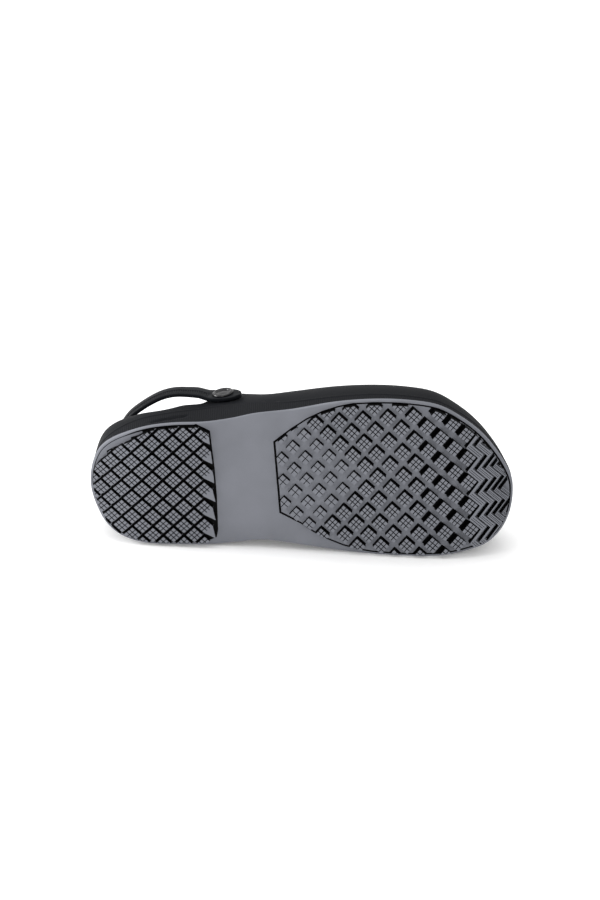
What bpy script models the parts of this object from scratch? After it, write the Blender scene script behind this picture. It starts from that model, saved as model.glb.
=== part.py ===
"""Kitchen clog, right shoe, size EU 42, lying on its inner side.

The shoe is drawn upright in millimetres: +X to the toe, +Y to the inner (medial) side, +Z up,
with the lug tops of heel and ball on z = 0 and the back of the heel at x = 0. At the end every
piece is hung on one empty, which lays the shoe on its inner side, as it rests on a floor.
"""

import math

import bmesh
import bpy
import numpy as np
from mathutils import Matrix, Vector

MM = 0.001
LATERAL, MEDIAL = -1, 1

# Overall sizes
LENGTH = 290.0
FIT_GAP = 0.3  # between pieces that touch
WALL = 3.2  # moulded foam wall of the upper
LIP_RISE = 1.2  # rounded top of the collar rim

# Edge of the outsole seen from below: x, outer edge y, inner edge y
OUTLINE = (
    (0.0, -2.0, -2.0),
    (3.0, -18.5, 14.2),
    (8.0, -28.0, 25.4),
    (16.0, -35.0, 34.0),
    (27.0, -40.0, 39.4),
    (42.0, -44.0, 42.7),
    (60.0, -45.4, 44.0),
    (82.0, -45.0, 45.3),
    (100.0, -46.8, 44.8),
    (116.0, -49.5, 44.2),
    (141.0, -51.2, 48.2),
    (171.0, -55.1, 54.4),
    (200.0, -55.7, 59.0),
    (225.0, -53.0, 61.4),
    (242.0, -47.8, 62.2),
    (257.0, -37.0, 60.8),
    (270.0, -23.5, 58.0),
    (280.0, -8.2, 50.6),
    (287.0, 6.5, 38.6),
    (290.0, 20.0, 20.0),
)

# Sections of the moulded body: x, height of the side ridge, crown of the vamp, fullness of the
# outer and of the inner wall (the power of its arch), height of the footbed
SECTIONS = (
    (0.0, 16.0, 95.0, 2.9, 2.6, 29.0),
    (17.0, 21.0, 76.0, 2.7, 2.4, 28.5),
    (30.0, 24.5, 70.0, 2.4, 2.1, 28.0),
    (49.0, 26.0, 66.0, 2.2, 2.0, 27.5),
    (66.0, 29.6, 76.0, 2.4, 1.9, 27.0),
    (86.0, 34.7, 97.0, 3.1, 1.8, 27.0),
    (100.0, 34.0, 97.0, 2.6, 1.8, 26.0),
    (120.0, 27.0, 93.0, 1.95, 1.85, 24.0),
    (142.0, 22.0, 92.5, 2.15, 2.1, 21.0),
    (170.0, 17.8, 89.0, 2.2, 2.15, 18.5),
    (200.0, 17.0, 84.5, 2.25, 2.2, 17.0),
    (225.0, 15.5, 81.5, 2.35, 2.3, 16.5),
    (245.0, 15.0, 79.5, 2.45, 2.3, 16.0),
    (270.0, 14.5, 77.0, 2.5, 2.3, 16.0),
    (290.0, 14.0, 75.0, 2.5, 2.3, 16.0),
)

# Collar rim: x, height. The last row is the throat, where the rim meets the crown.
RIM = (
    (0.0, 45.0),
    (25.0, 43.5),
    (50.0, 44.5),
    (70.0, 46.5),
    (78.0, 50.0),
    (84.0, 59.0),
    (90.0, 69.0),
    (98.0, 75.0),
    (108.0, 76.5),
    (118.0, 79.0),
    (126.0, 84.0),
    (133.0, 88.5),
    (138.5, 91.4),
    (142.0, 92.5),
)
THROAT_X = RIM[-1][0]

# The crown line is shorter than the sole, so heel and toe columns lean towards it
CROWN_BACK, CROWN_MIDDLE, CROWN_FRONT = 45.0, 150.0, 232.0

# Side wall: inset from the outsole edge
FOOT_INSET, BAND_INSET, RIDGE_INSET, STEP_INSET, PLAIN_INSET = 0.9, 0.6, 0.3, 1.3, 0.9
BAND_FOOT, BAND_LEAST = 1.2, 3.0  # the band starts this far above the joint, and is this high
RIDGE_REACH, RIDGE_EDGE, STEP_RISE = 2.0, 0.5, 1.0  # the ridge and the step above it
RIDGE_FADE = ((84.0, 98.0), (128.0, 142.0))  # the ridge fades out over the waist
TUCK, TUCK_FADE = 2.0, ((62.0, 84.0), (103.0, 124.0))  # the wall is tucked in under the strap
FOOTBED_FILLET, FILLET_POINT = 3.0, 0.3
FOOTBED_DISH = 1.6

# Points of the body: rows up the arch, and columns round heel, quarters, throat and toe
ARCH_ROWS = 8
HEEL_COLUMNS, QUARTER_COLUMNS, THROAT_COLUMNS, TOE_COLUMNS = 8, 10, 5, 15
HEEL_COLUMNS_END, QUARTER_START, QUARTER_END, THROAT_REACH = 54.0, 62.0, 118.0, 18.0

# Sole thickness and lift
BASE_Z = 3.8  # smooth face of the rim, waist and field, above the lug tops
JOINT_Z = 7.4  # top of the outsole
SPRING_START, SPRING_RADIUS = 215.0, 155.0
BEVEL_START, BEVEL_RADIUS = 40.0, 114.0
ARCH_SCOOP = 1.8  # how far the waist edges are scooped
SCOOP_MIDDLE, SCOOP_REACH, SCOOP_START = 108.0, 34.0, 0.45
SLAB_COLUMNS, SLAB_SHARES = 31, (0.08, 0.2, 0.5, 0.8, 0.92)
SLAB_TOP_EDGE, SLAB_LOW_EDGE = (0.5, 0.5), (0.9, 1.1)  # inset and height of its bevels

# Tread
HEEL_RIM, BALL_RIM = 2.0, 2.6  # smooth rim round the lugs
HEEL_BORDER_END, BALL_BORDER_START = 74.0, 190.0
HEEL_CORNERS = (
    (75.0, -43.4),
    (83.4, -38.2),
    (85.0, -12.0),
    (85.4, 9.0),
    (84.8, 34.2),
    (83.6, 39.3),
    (75.4, 43.0),
)
BALL_BACK = (
    (183.0, -53.3),
    (172.5, -51.7),
    (161.8, -48.6),
    (150.9, -43.8),
    (140.2, -37.1),
    (128.6, -28.2),
    (130.0, 23.1),
    (143.6, 31.8),
    (151.5, 38.2),
    (158.8, 43.1),
    (171.6, 49.4),
    (184.5, 53.6),
)
HEEL_LUG_HALF = (5.6, 5.3)  # half diagonals of a diamond lug
HEEL_PITCH = (7.1, 13.5)  # column spacing along x, row spacing across
HEEL_LATTICE_AT, HEEL_LATTICE_TURN = (50.5, -12.4), 2.9
HEEL_COLUMNS_BACK, HEEL_LAST_COLUMN, HEEL_ROWS = -8, 4, (-4, 8)
LUG_TAIL = (6.3, 7.8)  # tip of the plain tail of the heel's last lugs
BALL_LUG_HALF, SHALLOW_LUG_HALF = (5.5, 5.8), (4.7, 5.0)
BALL_COLUMNS = 16
BALL_FIRST_X, BALL_REAR_PITCH, BALL_FRONT_PITCH, BALL_PITCH_CHANGE = 132.2, 8.12, 8.87, 8
BALL_ROW_PITCH = (16.2, 17.7)  # across, at the first and at the last column
BALL_ROWS = (-4, 4)
SHALLOW_REACH, SHALLOW_LUG = 183.0, 2.6  # shallow lugs lie where x + |y| is less than this
LUG_ROOT = 1.2  # how far a lug is rooted in the slab
LUG_DRAFT = 0.35  # a lug is this much wider at its root
LUG_NEAR = 3.4  # a lug whose middle lies this close to the border still shows
TOE_LUG_EXTRA, TOE_LUG_FADE = 1.0, ((215.0, 245.0), (258.0, 275.0))  # taller before the toe
# Toe chevrons: x of the back vertex of each groove
CHEVRON_GROOVES = (257.2, 263.9, 269.9, 274.8, 279.0, 283.0)
CHEVRON_AMPLITUDE, CHEVRON_GROOVE, CHEVRON_ENDS = 7.9, 2.4, (-44.0, 62.0)
BORDER_LEVELS = (-8.0, 40.0)  # the block that trims the lugs reaches from and to these heights

# Heel strap, outer side from its pad to the back of the heel: x, y of its outer face, height of
# its middle, width
STRAP_OUTER = (
    (93.4, -46.4, 54.6, 18.2),
    (85.6, -46.9, 56.5, 17.4),
    (80.5, -47.5, 57.8, 16.4),
    (75.4, -47.7, 58.8, 15.6),
    (68.6, -48.1, 59.7, 14.6),
    (61.7, -48.5, 59.9, 14.0),
    (54.8, -47.9, 59.7, 13.6),
    (48.0, -46.0, 59.4, 13.4),
    (41.0, -42.8, 58.9, 13.2),
    (35.0, -39.3, 58.5, 13.0),
    (28.0, -34.4, 58.1, 12.8),
    (22.4, -28.0, 57.8, 12.6),
    (18.4, -19.5, 57.4, 12.4),
    (16.2, -10.5, 57.0, 12.3),
    (15.6, -2.0, 57.0, 12.2),
)
STRAP_MIDDLE = STRAP_OUTER[-1][1]
MEDIAL_STRAP_SCALE = 0.95  # the inner side is a little narrower
STRAP_STEPS = 1  # sections between two rows of the table
# Rows of the table over which the strap leaves the plane of its pad
PAD_BLEND = {LATERAL: (1.0, 2.0), MEDIAL: (1.0, 3.6)}
STRAP_THICK, STRAP_SOFT = 2.8, 0.9
PAD_LIFT = {LATERAL: 0.8, MEDIAL: 0.0}  # the outer pad stands upright, a little off the wall
PAD_REACH = 12.8  # from the pivot to the round end of the strap
PAD_ANGLES, PAD_TIP = (88, 72, 54, 36, 18), 1.6
PIVOT_X, PIVOT_Z = STRAP_OUTER[0][0], STRAP_OUTER[0][2]

# Rivets: outline of one half as radius and height above the seat of its head or of its washer
RIVET_SHANK, RIVET_HOLE_REACH, RIVET_SIDES = 3.2, 9.0, 16
RIVET_HEAD = ((7.4, 0.0), (7.4, 0.7), (6.2, 1.3), (3.3, 1.5))
RIVET_WASHER, WASHER_GAP = ((5.5, -1.6), (6.0, -1.1), (6.0, 0.0)), 0.7

# Insole
INSOLE_THICK, INSOLE_EDGE, INSOLE_INSET, INSOLE_GAP = 4.0, 2.8, 2.0, 0.6
INSOLE_COLUMNS, FLOOR_SHARES = 21, (0.25, 0.5, 0.75)

FLOOR_TRIM, FLOOR_BLOCK = 0.35, (20.0, 500.0)  # flat spots on which the shoe lies, and cutter
MASS_MIDDLE = (142.0, 3.0, 16.0)  # about the middle of mass of the upright shoe


def through(table, column, x):
    """Smooth curve through a table's rows: cubics whose slopes are those of its neighbours."""
    xs = [row[0] for row in table]
    ys = [row[column] for row in table]
    x = min(max(x, xs[0]), xs[-1])
    i = max(k for k in range(len(xs) - 1) if xs[k] <= x)

    def slope(k):
        low, high = max(k - 1, 0), min(k + 1, len(xs) - 1)
        return (ys[high] - ys[low]) / (xs[high] - xs[low])

    h = xs[i + 1] - xs[i]
    t = (x - xs[i]) / h
    return (
        (2 * t**3 - 3 * t**2 + 1) * ys[i]
        + (t**3 - 2 * t**2 + t) * h * slope(i)
        + (3 * t**2 - 2 * t**3) * ys[i + 1]
        + (t**3 - t**2) * h * slope(i + 1)
    )


def ramp(value, start, end):
    """0 before start, 1 after end, smooth between."""
    t = min(max((value - start) / (end - start), 0.0), 1.0)
    return t * t * (3 - 2 * t)


# Plan outline. A place on it is named by its turn: 0 at the heel, 1 at the toe, spaced so that
# both ends are round.
def turn_of(x):
    return math.acos(min(max(1 - 2 * x / LENGTH, -1), 1)) / math.pi


def x_of(turn):
    return LENGTH * (1 - math.cos(math.pi * turn)) / 2


TURN_OUTLINE = tuple((turn_of(x), outer, inner) for x, outer, inner in OUTLINE)


def outline_y(turn, side):
    return through(TURN_OUTLINE, 1 if side == LATERAL else 2, turn)


def edge(turn, side, inset=0.0):
    """Point of the outline, moved inwards by inset."""
    step = 1e-3
    before, after = max(turn - step, 0.0), min(turn + step, 1.0)
    along = Vector((x_of(after) - x_of(before), outline_y(after, side) - outline_y(before, side)))
    if turn in (0.0, 1.0):
        along = Vector((0.0, side if turn == 0.0 else -side))
    along.normalize()
    inwards = Vector((along.y, -along.x)) * side
    return Vector((x_of(turn), outline_y(turn, side))) + inwards * inset


def lift(x):
    """How far the sole is lifted by the toe spring and the heel bevel."""
    if x > SPRING_START:
        return SPRING_RADIUS - math.sqrt(SPRING_RADIUS**2 - (x - SPRING_START) ** 2)
    if x < BEVEL_START:
        return BEVEL_RADIUS - math.sqrt(BEVEL_RADIUS**2 - (BEVEL_START - x) ** 2)
    return 0.0


def spring(x):
    return lift(x) if x > SPRING_START else 0.0


def lean(x):
    """Sine of the slope of the underside: above 0 over the toe spring, below 0 over the heel."""
    if x > SPRING_START:
        return (x - SPRING_START) / SPRING_RADIUS
    return min(x - BEVEL_START, 0.0) / BEVEL_RADIUS


# Moulded body. Every column rises from the outline and arches over to the crown line.
def crown_point(x):
    """Point of the crown line that the column at x arches to."""
    if x < CROWN_MIDDLE:
        crown_x = CROWN_BACK + x * (CROWN_MIDDLE - CROWN_BACK) / CROWN_MIDDLE
    else:
        share = (x - CROWN_MIDDLE) / (LENGTH - CROWN_MIDDLE)
        crown_x = CROWN_MIDDLE + share * (CROWN_FRONT - CROWN_MIDDLE)
    turn = turn_of(crown_x)
    middle = (outline_y(turn, LATERAL) + outline_y(turn, MEDIAL)) / 2
    return Vector((crown_x, middle, through(SECTIONS, 2, x)))


def ridge_height(x):
    return through(SECTIONS, 1, x) + spring(x)


def ridge_share(x):
    (fade_out, gone), (back, full) = RIDGE_FADE
    return 1 - ramp(x, fade_out, gone) + ramp(x, back, full)


class Column:
    """One upright section of the body wall, at a turn of the outline."""

    def __init__(self, turn, side):
        self.turn, self.side, self.x = turn, side, x_of(turn)
        self.crown = crown_point(self.x)
        self.power = through(SECTIONS, 3 if side == LATERAL else 4, self.x)
        self.joint = JOINT_Z + lift(self.x)
        self.ridge = max(ridge_height(self.x), self.joint + BAND_LEAST)
        self.share = ridge_share(self.x)
        self.spring_line = self.ridge + STEP_RISE
        self.step_inset = PLAIN_INSET + (STEP_INSET - PLAIN_INSET) * self.share
        (start, full), (back, gone) = TUCK_FADE
        self.step_inset += TUCK * (ramp(self.x, start, full) - ramp(self.x, back, gone))

    def at(self, inset, z):
        point = edge(self.turn, self.side, inset)
        return Vector((point.x, point.y, z))

    def arch(self, angle, depth=0.0):
        """Point of the arch, angle from 0 at its foot to a quarter turn at the crown."""
        foot = self.at(self.step_inset + depth, self.spring_line)
        over = 1 - math.cos(angle) ** (2 / self.power) if angle < math.pi / 2 else 1.0
        up = math.sin(angle) ** (2 / self.power)
        plan = foot.lerp(self.crown, over)
        z = foot.z + (self.crown.z - depth - foot.z) * up
        return Vector((plan.x, plan.y, z))

    def angle_at(self, z, depth=0.0):
        rise = (z - self.spring_line) / (self.crown.z - depth - self.spring_line)
        return math.asin(min(max(rise, 0.0), 1.0) ** (self.power / 2))

    def rim_angle(self):
        if self.x >= THROAT_X - 1e-6:
            return math.pi / 2
        return self.angle_at(through(RIM, 1, self.x))


def footbed_height(x, across=0.0):
    """Top of the footbed; across is -1 and 1 at its edges and 0 in its middle."""
    return through(SECTIONS, 5, x) + spring(x) - FOOTBED_DISH * (1 - across * across)


def outer_rows(column):
    ridge_inset = PLAIN_INSET + (RIDGE_INSET - PLAIN_INSET) * column.share
    band_inset = PLAIN_INSET + (BAND_INSET - PLAIN_INSET) * column.share
    rows = [
        column.at(FOOT_INSET, column.joint),
        column.at(band_inset, column.joint + BAND_FOOT),
        column.at(band_inset, column.ridge - RIDGE_REACH),
        column.at(ridge_inset, column.ridge - RIDGE_EDGE),
        column.at(ridge_inset, column.ridge),
    ]
    top = column.rim_angle()
    rows += [column.arch(top * k / ARCH_ROWS) for k in range(ARCH_ROWS + 1)]
    return rows


def rim_row(column):
    top = column.rim_angle()
    middle = (column.arch(top) + column.arch(top, WALL)) / 2
    middle.z = max(column.arch(top).z, column.arch(top, WALL).z) + LIP_RISE
    return middle


def inner_rows(column):
    top = column.rim_angle()
    floor = footbed_height(column.x, 1.0)
    low = column.angle_at(floor + FOOTBED_FILLET + STEP_RISE, WALL)
    rows = [column.arch(top + (low - top) * k / ARCH_ROWS, WALL) for k in range(ARCH_ROWS + 1)]
    base = column.step_inset + WALL
    near = FOOTBED_FILLET * FILLET_POINT
    rows.append(column.at(base + near, floor + near))
    rows.append(column.at(base + FOOTBED_FILLET, floor))
    return rows


def body_turns():
    """Turns of the columns: close together at heel, collar and toe."""
    heel = list(np.linspace(0.0, turn_of(HEEL_COLUMNS_END), HEEL_COLUMNS))
    quarter = [turn_of(x) for x in np.linspace(QUARTER_START, QUARTER_END, QUARTER_COLUMNS)]
    steps = [(1 - k / THROAT_COLUMNS) ** 1.6 for k in range(THROAT_COLUMNS + 1)]
    throat = [turn_of(THROAT_X - THROAT_REACH * step) for step in steps]
    toe = list(np.linspace(turn_of(THROAT_X), 1.0, TOE_COLUMNS))[1:]
    return heel + quarter + throat + toe


def mesh_object(name, points, faces, material, smooth_angle=35.0):
    """Object from points in millimetres; points closer than a hundredth are made one."""
    mesh = bpy.data.meshes.new(name)
    bm = bmesh.new()
    made = [bm.verts.new(Vector(point) * MM) for point in points]
    for face in faces:
        corners = list(dict.fromkeys(face))
        if len(corners) > 2:
            bm.faces.new([made[i] for i in corners])
    bmesh.ops.remove_doubles(bm, verts=bm.verts, dist=0.01 * MM)
    bmesh.ops.recalc_face_normals(bm, faces=bm.faces)
    bm.to_mesh(mesh)
    bm.free()
    mesh.shade_smooth()
    mesh.set_sharp_from_angle(angle=math.radians(smooth_angle))
    obj = bpy.data.objects.new(name, mesh)
    bpy.context.scene.collection.objects.link(obj)
    obj.data.materials.append(material)
    return obj


class Shell:
    """Points and faces of a closed shape between paired outer and inner columns."""

    def __init__(self):
        self.points, self.faces = [], []

    def add(self, point):
        self.points.append(Vector(point))
        return len(self.points) - 1

    def strip(self, first, second, closed=False):
        count = len(first)
        for i in range(count if closed else count - 1):
            j = (i + 1) % count
            self.faces.append((first[i], first[j], second[j], second[i]))

    def grid(self, rows):
        for first, second in zip(rows, rows[1:]):
            self.strip(first, second)


def loop_of(turns):
    """(turn, side) of the columns all the way round: up the outer side, down the inner one."""
    return [(turn, LATERAL) for turn in turns] + [(turn, MEDIAL) for turn in turns[-2:0:-1]]


def across_grid(shell, turns, ring, shares, height):
    """Fills between the outer and inner halves of a ring with rows of points across."""
    rows = []
    last = len(turns) - 1
    for i, turn in enumerate(turns):
        outer = ring[i]
        if i in (0, last):
            rows.append([outer] * (len(shares) + 2))
            continue
        inner = ring[-i]
        a, b = shell.points[outer], shell.points[inner]
        row = [outer]
        for share in shares:
            point = a.lerp(b, share)
            point.z = height(point, 2 * share - 1)
            row.append(shell.add(point))
        rows.append(row + [inner])
    shell.grid(rows)


def make_upper(material):
    """One hollow moulding: side wall, heel cup, quarters, vamp, toe box and footbed."""
    shell = Shell()
    turns = body_turns()
    columns = [Column(turn, side) for turn, side in loop_of(turns)]
    outer = [[shell.add(p) for p in outer_rows(column)] for column in columns]
    inner = [[shell.add(p) for p in inner_rows(column)] for column in columns]
    for rows in (outer, inner):
        for i, column_rows in enumerate(rows):
            shell.strip(column_rows, rows[(i + 1) % len(rows)])
    open_ring = [i for i, column in enumerate(columns) if column.x <= THROAT_X + 1e-6]
    start = next(k for k in range(1, len(open_ring)) if open_ring[k] != open_ring[k - 1] + 1)
    path = open_ring[start:] + open_ring[:start]
    lip = [shell.add(rim_row(columns[i])) for i in path]
    tops = [outer[i][-1] for i in path]
    inside = [inner[i][0] for i in path]
    shell.strip(tops, lip)
    shell.strip(lip, inside)
    across_grid(shell, turns, [rows[0] for rows in outer], (), None)
    across_grid(
        shell,
        turns,
        [rows[-1] for rows in inner],
        FLOOR_SHARES,
        lambda point, across: footbed_height(point.x, across),
    )
    return mesh_object("upper", shell.points, shell.faces, material)


def sole_base(x, across):
    """Smooth underside: flat across, scooped at both edges of the waist."""
    near = 1 - min(abs(x - SCOOP_MIDDLE) / SCOOP_REACH, 1.0) ** 2
    side = ramp(abs(across), SCOOP_START, 1.0)
    return BASE_Z + lift(x) + ARCH_SCOOP * near * side


def make_slab(material):
    shell = Shell()
    turns = list(np.linspace(0.0, 1.0, SLAB_COLUMNS))
    rows = []
    for turn, side in loop_of(turns):
        x = x_of(turn)
        low = sole_base(x, side if 0 < turn < 1 else 0)
        top = JOINT_Z - FIT_GAP + lift(x)
        levels = (
            (SLAB_TOP_EDGE[0], top),
            (0.0, top - SLAB_TOP_EDGE[1]),
            (0.0, low + SLAB_LOW_EDGE[1]),
            (SLAB_LOW_EDGE[0], low),
        )
        rows.append([shell.add((*edge(turn, side, inset), z)) for inset, z in levels])
    for i, column_rows in enumerate(rows):
        shell.strip(column_rows, rows[(i + 1) % len(rows)])
    across_grid(shell, turns, [row[0] for row in rows], (), None)
    across_grid(
        shell,
        turns,
        [row[-1] for row in rows],
        SLAB_SHARES,
        lambda point, across: sole_base(point.x, across),
    )
    return mesh_object("outsole", shell.points, shell.faces, material)


def prism(shell, corners, lower, upper, draft=0.0):
    """Block over a polygon: lower and upper give the point of each end over a point in plan."""
    middle = sum((Vector(corner) for corner in corners), Vector((0, 0))) / len(corners)
    low, high = [], []
    for corner in corners:
        corner = Vector(corner)
        out = (corner - middle).normalized() * draft
        low.append(shell.add(lower(corner)))
        high.append(shell.add(upper(corner + out)))
    shell.strip(low, high, closed=True)
    shell.faces.append(tuple(low))
    shell.faces.append(tuple(high))


def level(z):
    return lambda place: Vector((*place, z))


def lug_height(x):
    """Lugs stand taller just before the toe."""
    (start, full), (back, gone) = TOE_LUG_FADE
    return BASE_Z + TOE_LUG_EXTRA * (ramp(x, start, full) - ramp(x, back, gone))


def lug_point(place, height, depth):
    """Point of a lug at a depth below the underside, along its normal; the face of the lug is
    seen at this place."""
    foot = place.x - height * lean(place.x)
    slope = lean(foot)
    z = BASE_Z + lift(foot) - depth * math.sqrt(1 - slope * slope)
    return Vector((foot + depth * slope, place.y, z))


def lug_face(place):
    return lug_point(place, lug_height(place.x), lug_height(place.x))


def lug_root(place):
    return lug_point(place, lug_height(place.x), -LUG_ROOT)


def shallow_face(place):
    return lug_point(place, SHALLOW_LUG, SHALLOW_LUG)


def diamond(centre, half, turn=0.0, tail=None):
    """Corners of a lug; a tail is one more corner between its front and its inner one."""
    corners = [(half[0], 0), (0, half[1]), (-half[0], 0), (0, -half[1])]
    if tail:
        corners.insert(1, tail)
    spin = Matrix.Rotation(math.radians(turn), 2)
    return [Vector(centre) + spin @ Vector(corner) for corner in corners]


def heel_lugs():
    """Corners and middle of each heel lug; those of the last column end in a tail."""
    spin = Matrix.Rotation(math.radians(HEEL_LATTICE_TURN), 2)
    for column in range(HEEL_COLUMNS_BACK, HEEL_LAST_COLUMN + 1):
        for row in range(*HEEL_ROWS):
            across = row + (0.5 if column % 2 else 0.0)
            step = Vector((column * HEEL_PITCH[0], across * HEEL_PITCH[1]))
            centre = Vector(HEEL_LATTICE_AT) + spin @ step
            tail = LUG_TAIL if column == HEEL_LAST_COLUMN else None
            yield centre, diamond(centre, HEEL_LUG_HALF, HEEL_LATTICE_TURN, tail)


def ball_lug_centres():
    first, last = BALL_ROW_PITCH
    for column in range(BALL_COLUMNS):
        rear = min(column, BALL_PITCH_CHANGE)
        x = BALL_FIRST_X + rear * BALL_REAR_PITCH + (column - rear) * BALL_FRONT_PITCH
        pitch = first + (last - first) * column / (BALL_COLUMNS - 1)
        for row in range(*BALL_ROWS):
            yield Vector((x, (row + (0.5 if column % 2 else 0.0)) * pitch))


def inset_arc(start_x, end_x, side, inset, count):
    """Points of the outline from start_x to end_x, moved inwards."""
    turns = np.linspace(turn_of(start_x), turn_of(end_x), count)
    return [edge(turn, side, inset) for turn in turns]


def heel_border():
    outer = inset_arc(HEEL_BORDER_END, 0.0, LATERAL, HEEL_RIM, 12)
    inner = inset_arc(0.0, HEEL_BORDER_END, MEDIAL, HEEL_RIM, 12)[1:]
    corners = [Vector(corner) for corner in HEEL_CORNERS]
    return outer + inner + corners[::-1]


def ball_border():
    outer = inset_arc(BALL_BORDER_START, LENGTH, LATERAL, BALL_RIM, 14)
    inner = inset_arc(LENGTH, BALL_BORDER_START, MEDIAL, BALL_RIM, 14)[1:]
    return outer + inner + [Vector(corner) for corner in BALL_BACK[::-1]]


def chevron_line(start):
    """Zigzag across the lug rows, its vertices half a row apart."""
    half = BALL_ROW_PITCH[1] / 2
    first, last = math.floor(CHEVRON_ENDS[0] / half), math.ceil(CHEVRON_ENDS[1] / half)
    tips = range(first, last + 1)
    return [Vector((start + (CHEVRON_AMPLITUDE if k % 2 else 0.0), k * half)) for k in tips]


def boolean(obj, cutter, operation):
    modifier = obj.modifiers.new(operation.lower(), "BOOLEAN")
    modifier.operation = operation
    modifier.object = cutter
    modifier.solver = "EXACT"
    cutter.hide_render = True
    cutter.display_type = "WIRE"


def make_tread(name, border, blocks, material):
    """Blocks cut to a border: a helper that is joined to the slab."""
    tread = mesh_object(name + "_lugs", blocks.points, blocks.faces, material)
    frame = Shell()
    prism(frame, border, level(BORDER_LEVELS[0]), level(BORDER_LEVELS[1]))
    edge_block = mesh_object(name + "_border", frame.points, frame.faces, material)
    boolean(tread, edge_block, "INTERSECT")
    return tread


def inside(point, border, reach):
    """True where a point lies in the border or within reach of it."""
    hit = False
    for a, b in zip(border, border[1:] + border[:1]):
        along = b - a
        share = min(max((point - a).dot(along) / along.length_squared, 0.0), 1.0)
        if (point - a - along * share).length < reach:
            return True
        if (a.y > point.y) != (b.y > point.y):
            if point.x < a.x + (point.y - a.y) * along.x / along.y:
                hit = not hit
    return hit


def make_ridge(shell, back, front):
    """Zigzag ridge between two lines, as one closed block."""
    rails = []
    for line, height in ((back, lug_face), (front, lug_face), (front, lug_root), (back, lug_root)):
        rails.append([shell.add(height(point)) for point in line])
    for first, second in zip(rails, rails[1:] + rails[:1]):
        shell.strip(first, second)
    for end in (0, -1):
        shell.faces.append(tuple(rail[end] for rail in rails))


def make_outsole(material):
    slab = make_slab(material)
    heel, border = Shell(), heel_border()
    for centre, corners in heel_lugs():
        if inside(centre, border, LUG_NEAR):
            prism(heel, corners, lug_face, lug_root, LUG_DRAFT)
    boolean(slab, make_tread("heel", border, heel, material), "UNION")
    ball, border = Shell(), ball_border()
    for centre in ball_lug_centres():
        if not inside(centre, border, LUG_NEAR):
            continue
        if centre.x + abs(centre.y) < SHALLOW_REACH:
            prism(ball, diamond(centre, SHALLOW_LUG_HALF), shallow_face, lug_root, LUG_DRAFT)
        else:
            prism(ball, diamond(centre, BALL_LUG_HALF), lug_face, lug_root, LUG_DRAFT)
    for start, end in zip(CHEVRON_GROOVES, CHEVRON_GROOVES[1:]):
        back = chevron_line(start + CHEVRON_GROOVE / 2)
        front = chevron_line(end - CHEVRON_GROOVE / 2)
        make_ridge(ball, back, front)
    boolean(slab, make_tread("ball", border, ball, material), "UNION")
    return slab


def make_insole(material):
    """Removable footbed pad, thinner at its edge."""
    shell = Shell()
    turns = list(np.linspace(0.0, 1.0, INSOLE_COLUMNS))
    inset = STEP_INSET + WALL + FOOTBED_FILLET + INSOLE_INSET
    lower, upper = [], []
    for turn, side in loop_of(turns):
        place = edge(turn, side, inset)
        z = footbed_height(x_of(turn), 1.0) + INSOLE_GAP
        lower.append(shell.add((*place, z)))
        upper.append(shell.add((*place, z + INSOLE_EDGE)))
    shell.strip(lower, upper, closed=True)
    for ring, rise in ((lower, INSOLE_GAP), (upper, INSOLE_GAP + INSOLE_THICK)):
        across_grid(
            shell,
            turns,
            ring,
            FLOOR_SHARES,
            lambda point, across, rise=rise: footbed_height(point.x, across) + rise,
        )
    return mesh_object("insole", shell.points, shell.faces, material)


def wall_point(x, z, side):
    """Point of the outer wall at x and z."""
    low, high = 0.0, 1.0
    for _ in range(40):
        turn = (low + high) / 2
        column = Column(turn, side)
        point = column.arch(column.angle_at(z))
        low, high = (turn, high) if point.x < x else (low, turn)
    return point


def wall_frame(x, z, side):
    """Point and outward normal of the outer wall."""
    here = wall_point(x, z, side)
    along = wall_point(x + 1, z, side) - wall_point(x - 1, z, side)
    up = wall_point(x, z + 1, side) - wall_point(x, z - 1, side)
    out = along.cross(up).normalized()
    if out.y * side < 0:
        out = -out
    return here, out


def pad_frame(side):
    """Point of the wall under a pad of the strap, and the pad's outward normal."""
    here, out = wall_frame(PIVOT_X, PIVOT_Z, side)
    if side == LATERAL:
        out = Vector((out.x, out.y, 0.0)).normalized()
    return here, out


def strap_rows():
    """Rows of both halves, from their pad to the heel: middle of the outer face, up, width."""
    halves = []
    count = len(STRAP_OUTER)
    indexed = tuple((k, *row) for k, row in enumerate(STRAP_OUTER))
    for side in (LATERAL, MEDIAL):
        pivot, out = pad_frame(side)
        seat = pivot + out * (PAD_LIFT[side] + FIT_GAP + STRAP_THICK)
        pad_up = out.cross(Vector((0, 0, 1))).cross(out).normalized()
        half = []
        for step in np.linspace(0, count - 1, STRAP_STEPS * (count - 1) + 1):
            x, y, z, width = (through(indexed, column, step) for column in (1, 2, 3, 4))
            if side == MEDIAL:
                y = MEDIAL_STRAP_SCALE * (STRAP_MIDDLE - y) + STRAP_MIDDLE
            pad_y = seat.y - ((x - seat.x) * out.x + (z - seat.z) * out.z) / out.y
            y = pad_y + (y - pad_y) * ramp(step, *PAD_BLEND[side])
            up = pad_up.lerp(Vector((0, 0, 1)), ramp(step, *PAD_BLEND[side])).normalized()
            half.append((Vector((x, y, z)), up, width))
        halves.append(half)
    return halves


def strap_section(middle, out, up, width, thick):
    """Rounded bar section: outer face at middle."""
    half, soft = width / 2, min(STRAP_SOFT, width / 6)
    places = (
        (0.0, half - soft),
        (-soft, half),
        (-thick + soft, half),
        (-thick, half - soft),
        (-thick, -half + soft),
        (-thick + soft, -half),
        (-soft, -half),
        (0.0, -half + soft),
    )
    return [middle + out * depth + up * rise for depth, rise in places]


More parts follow.
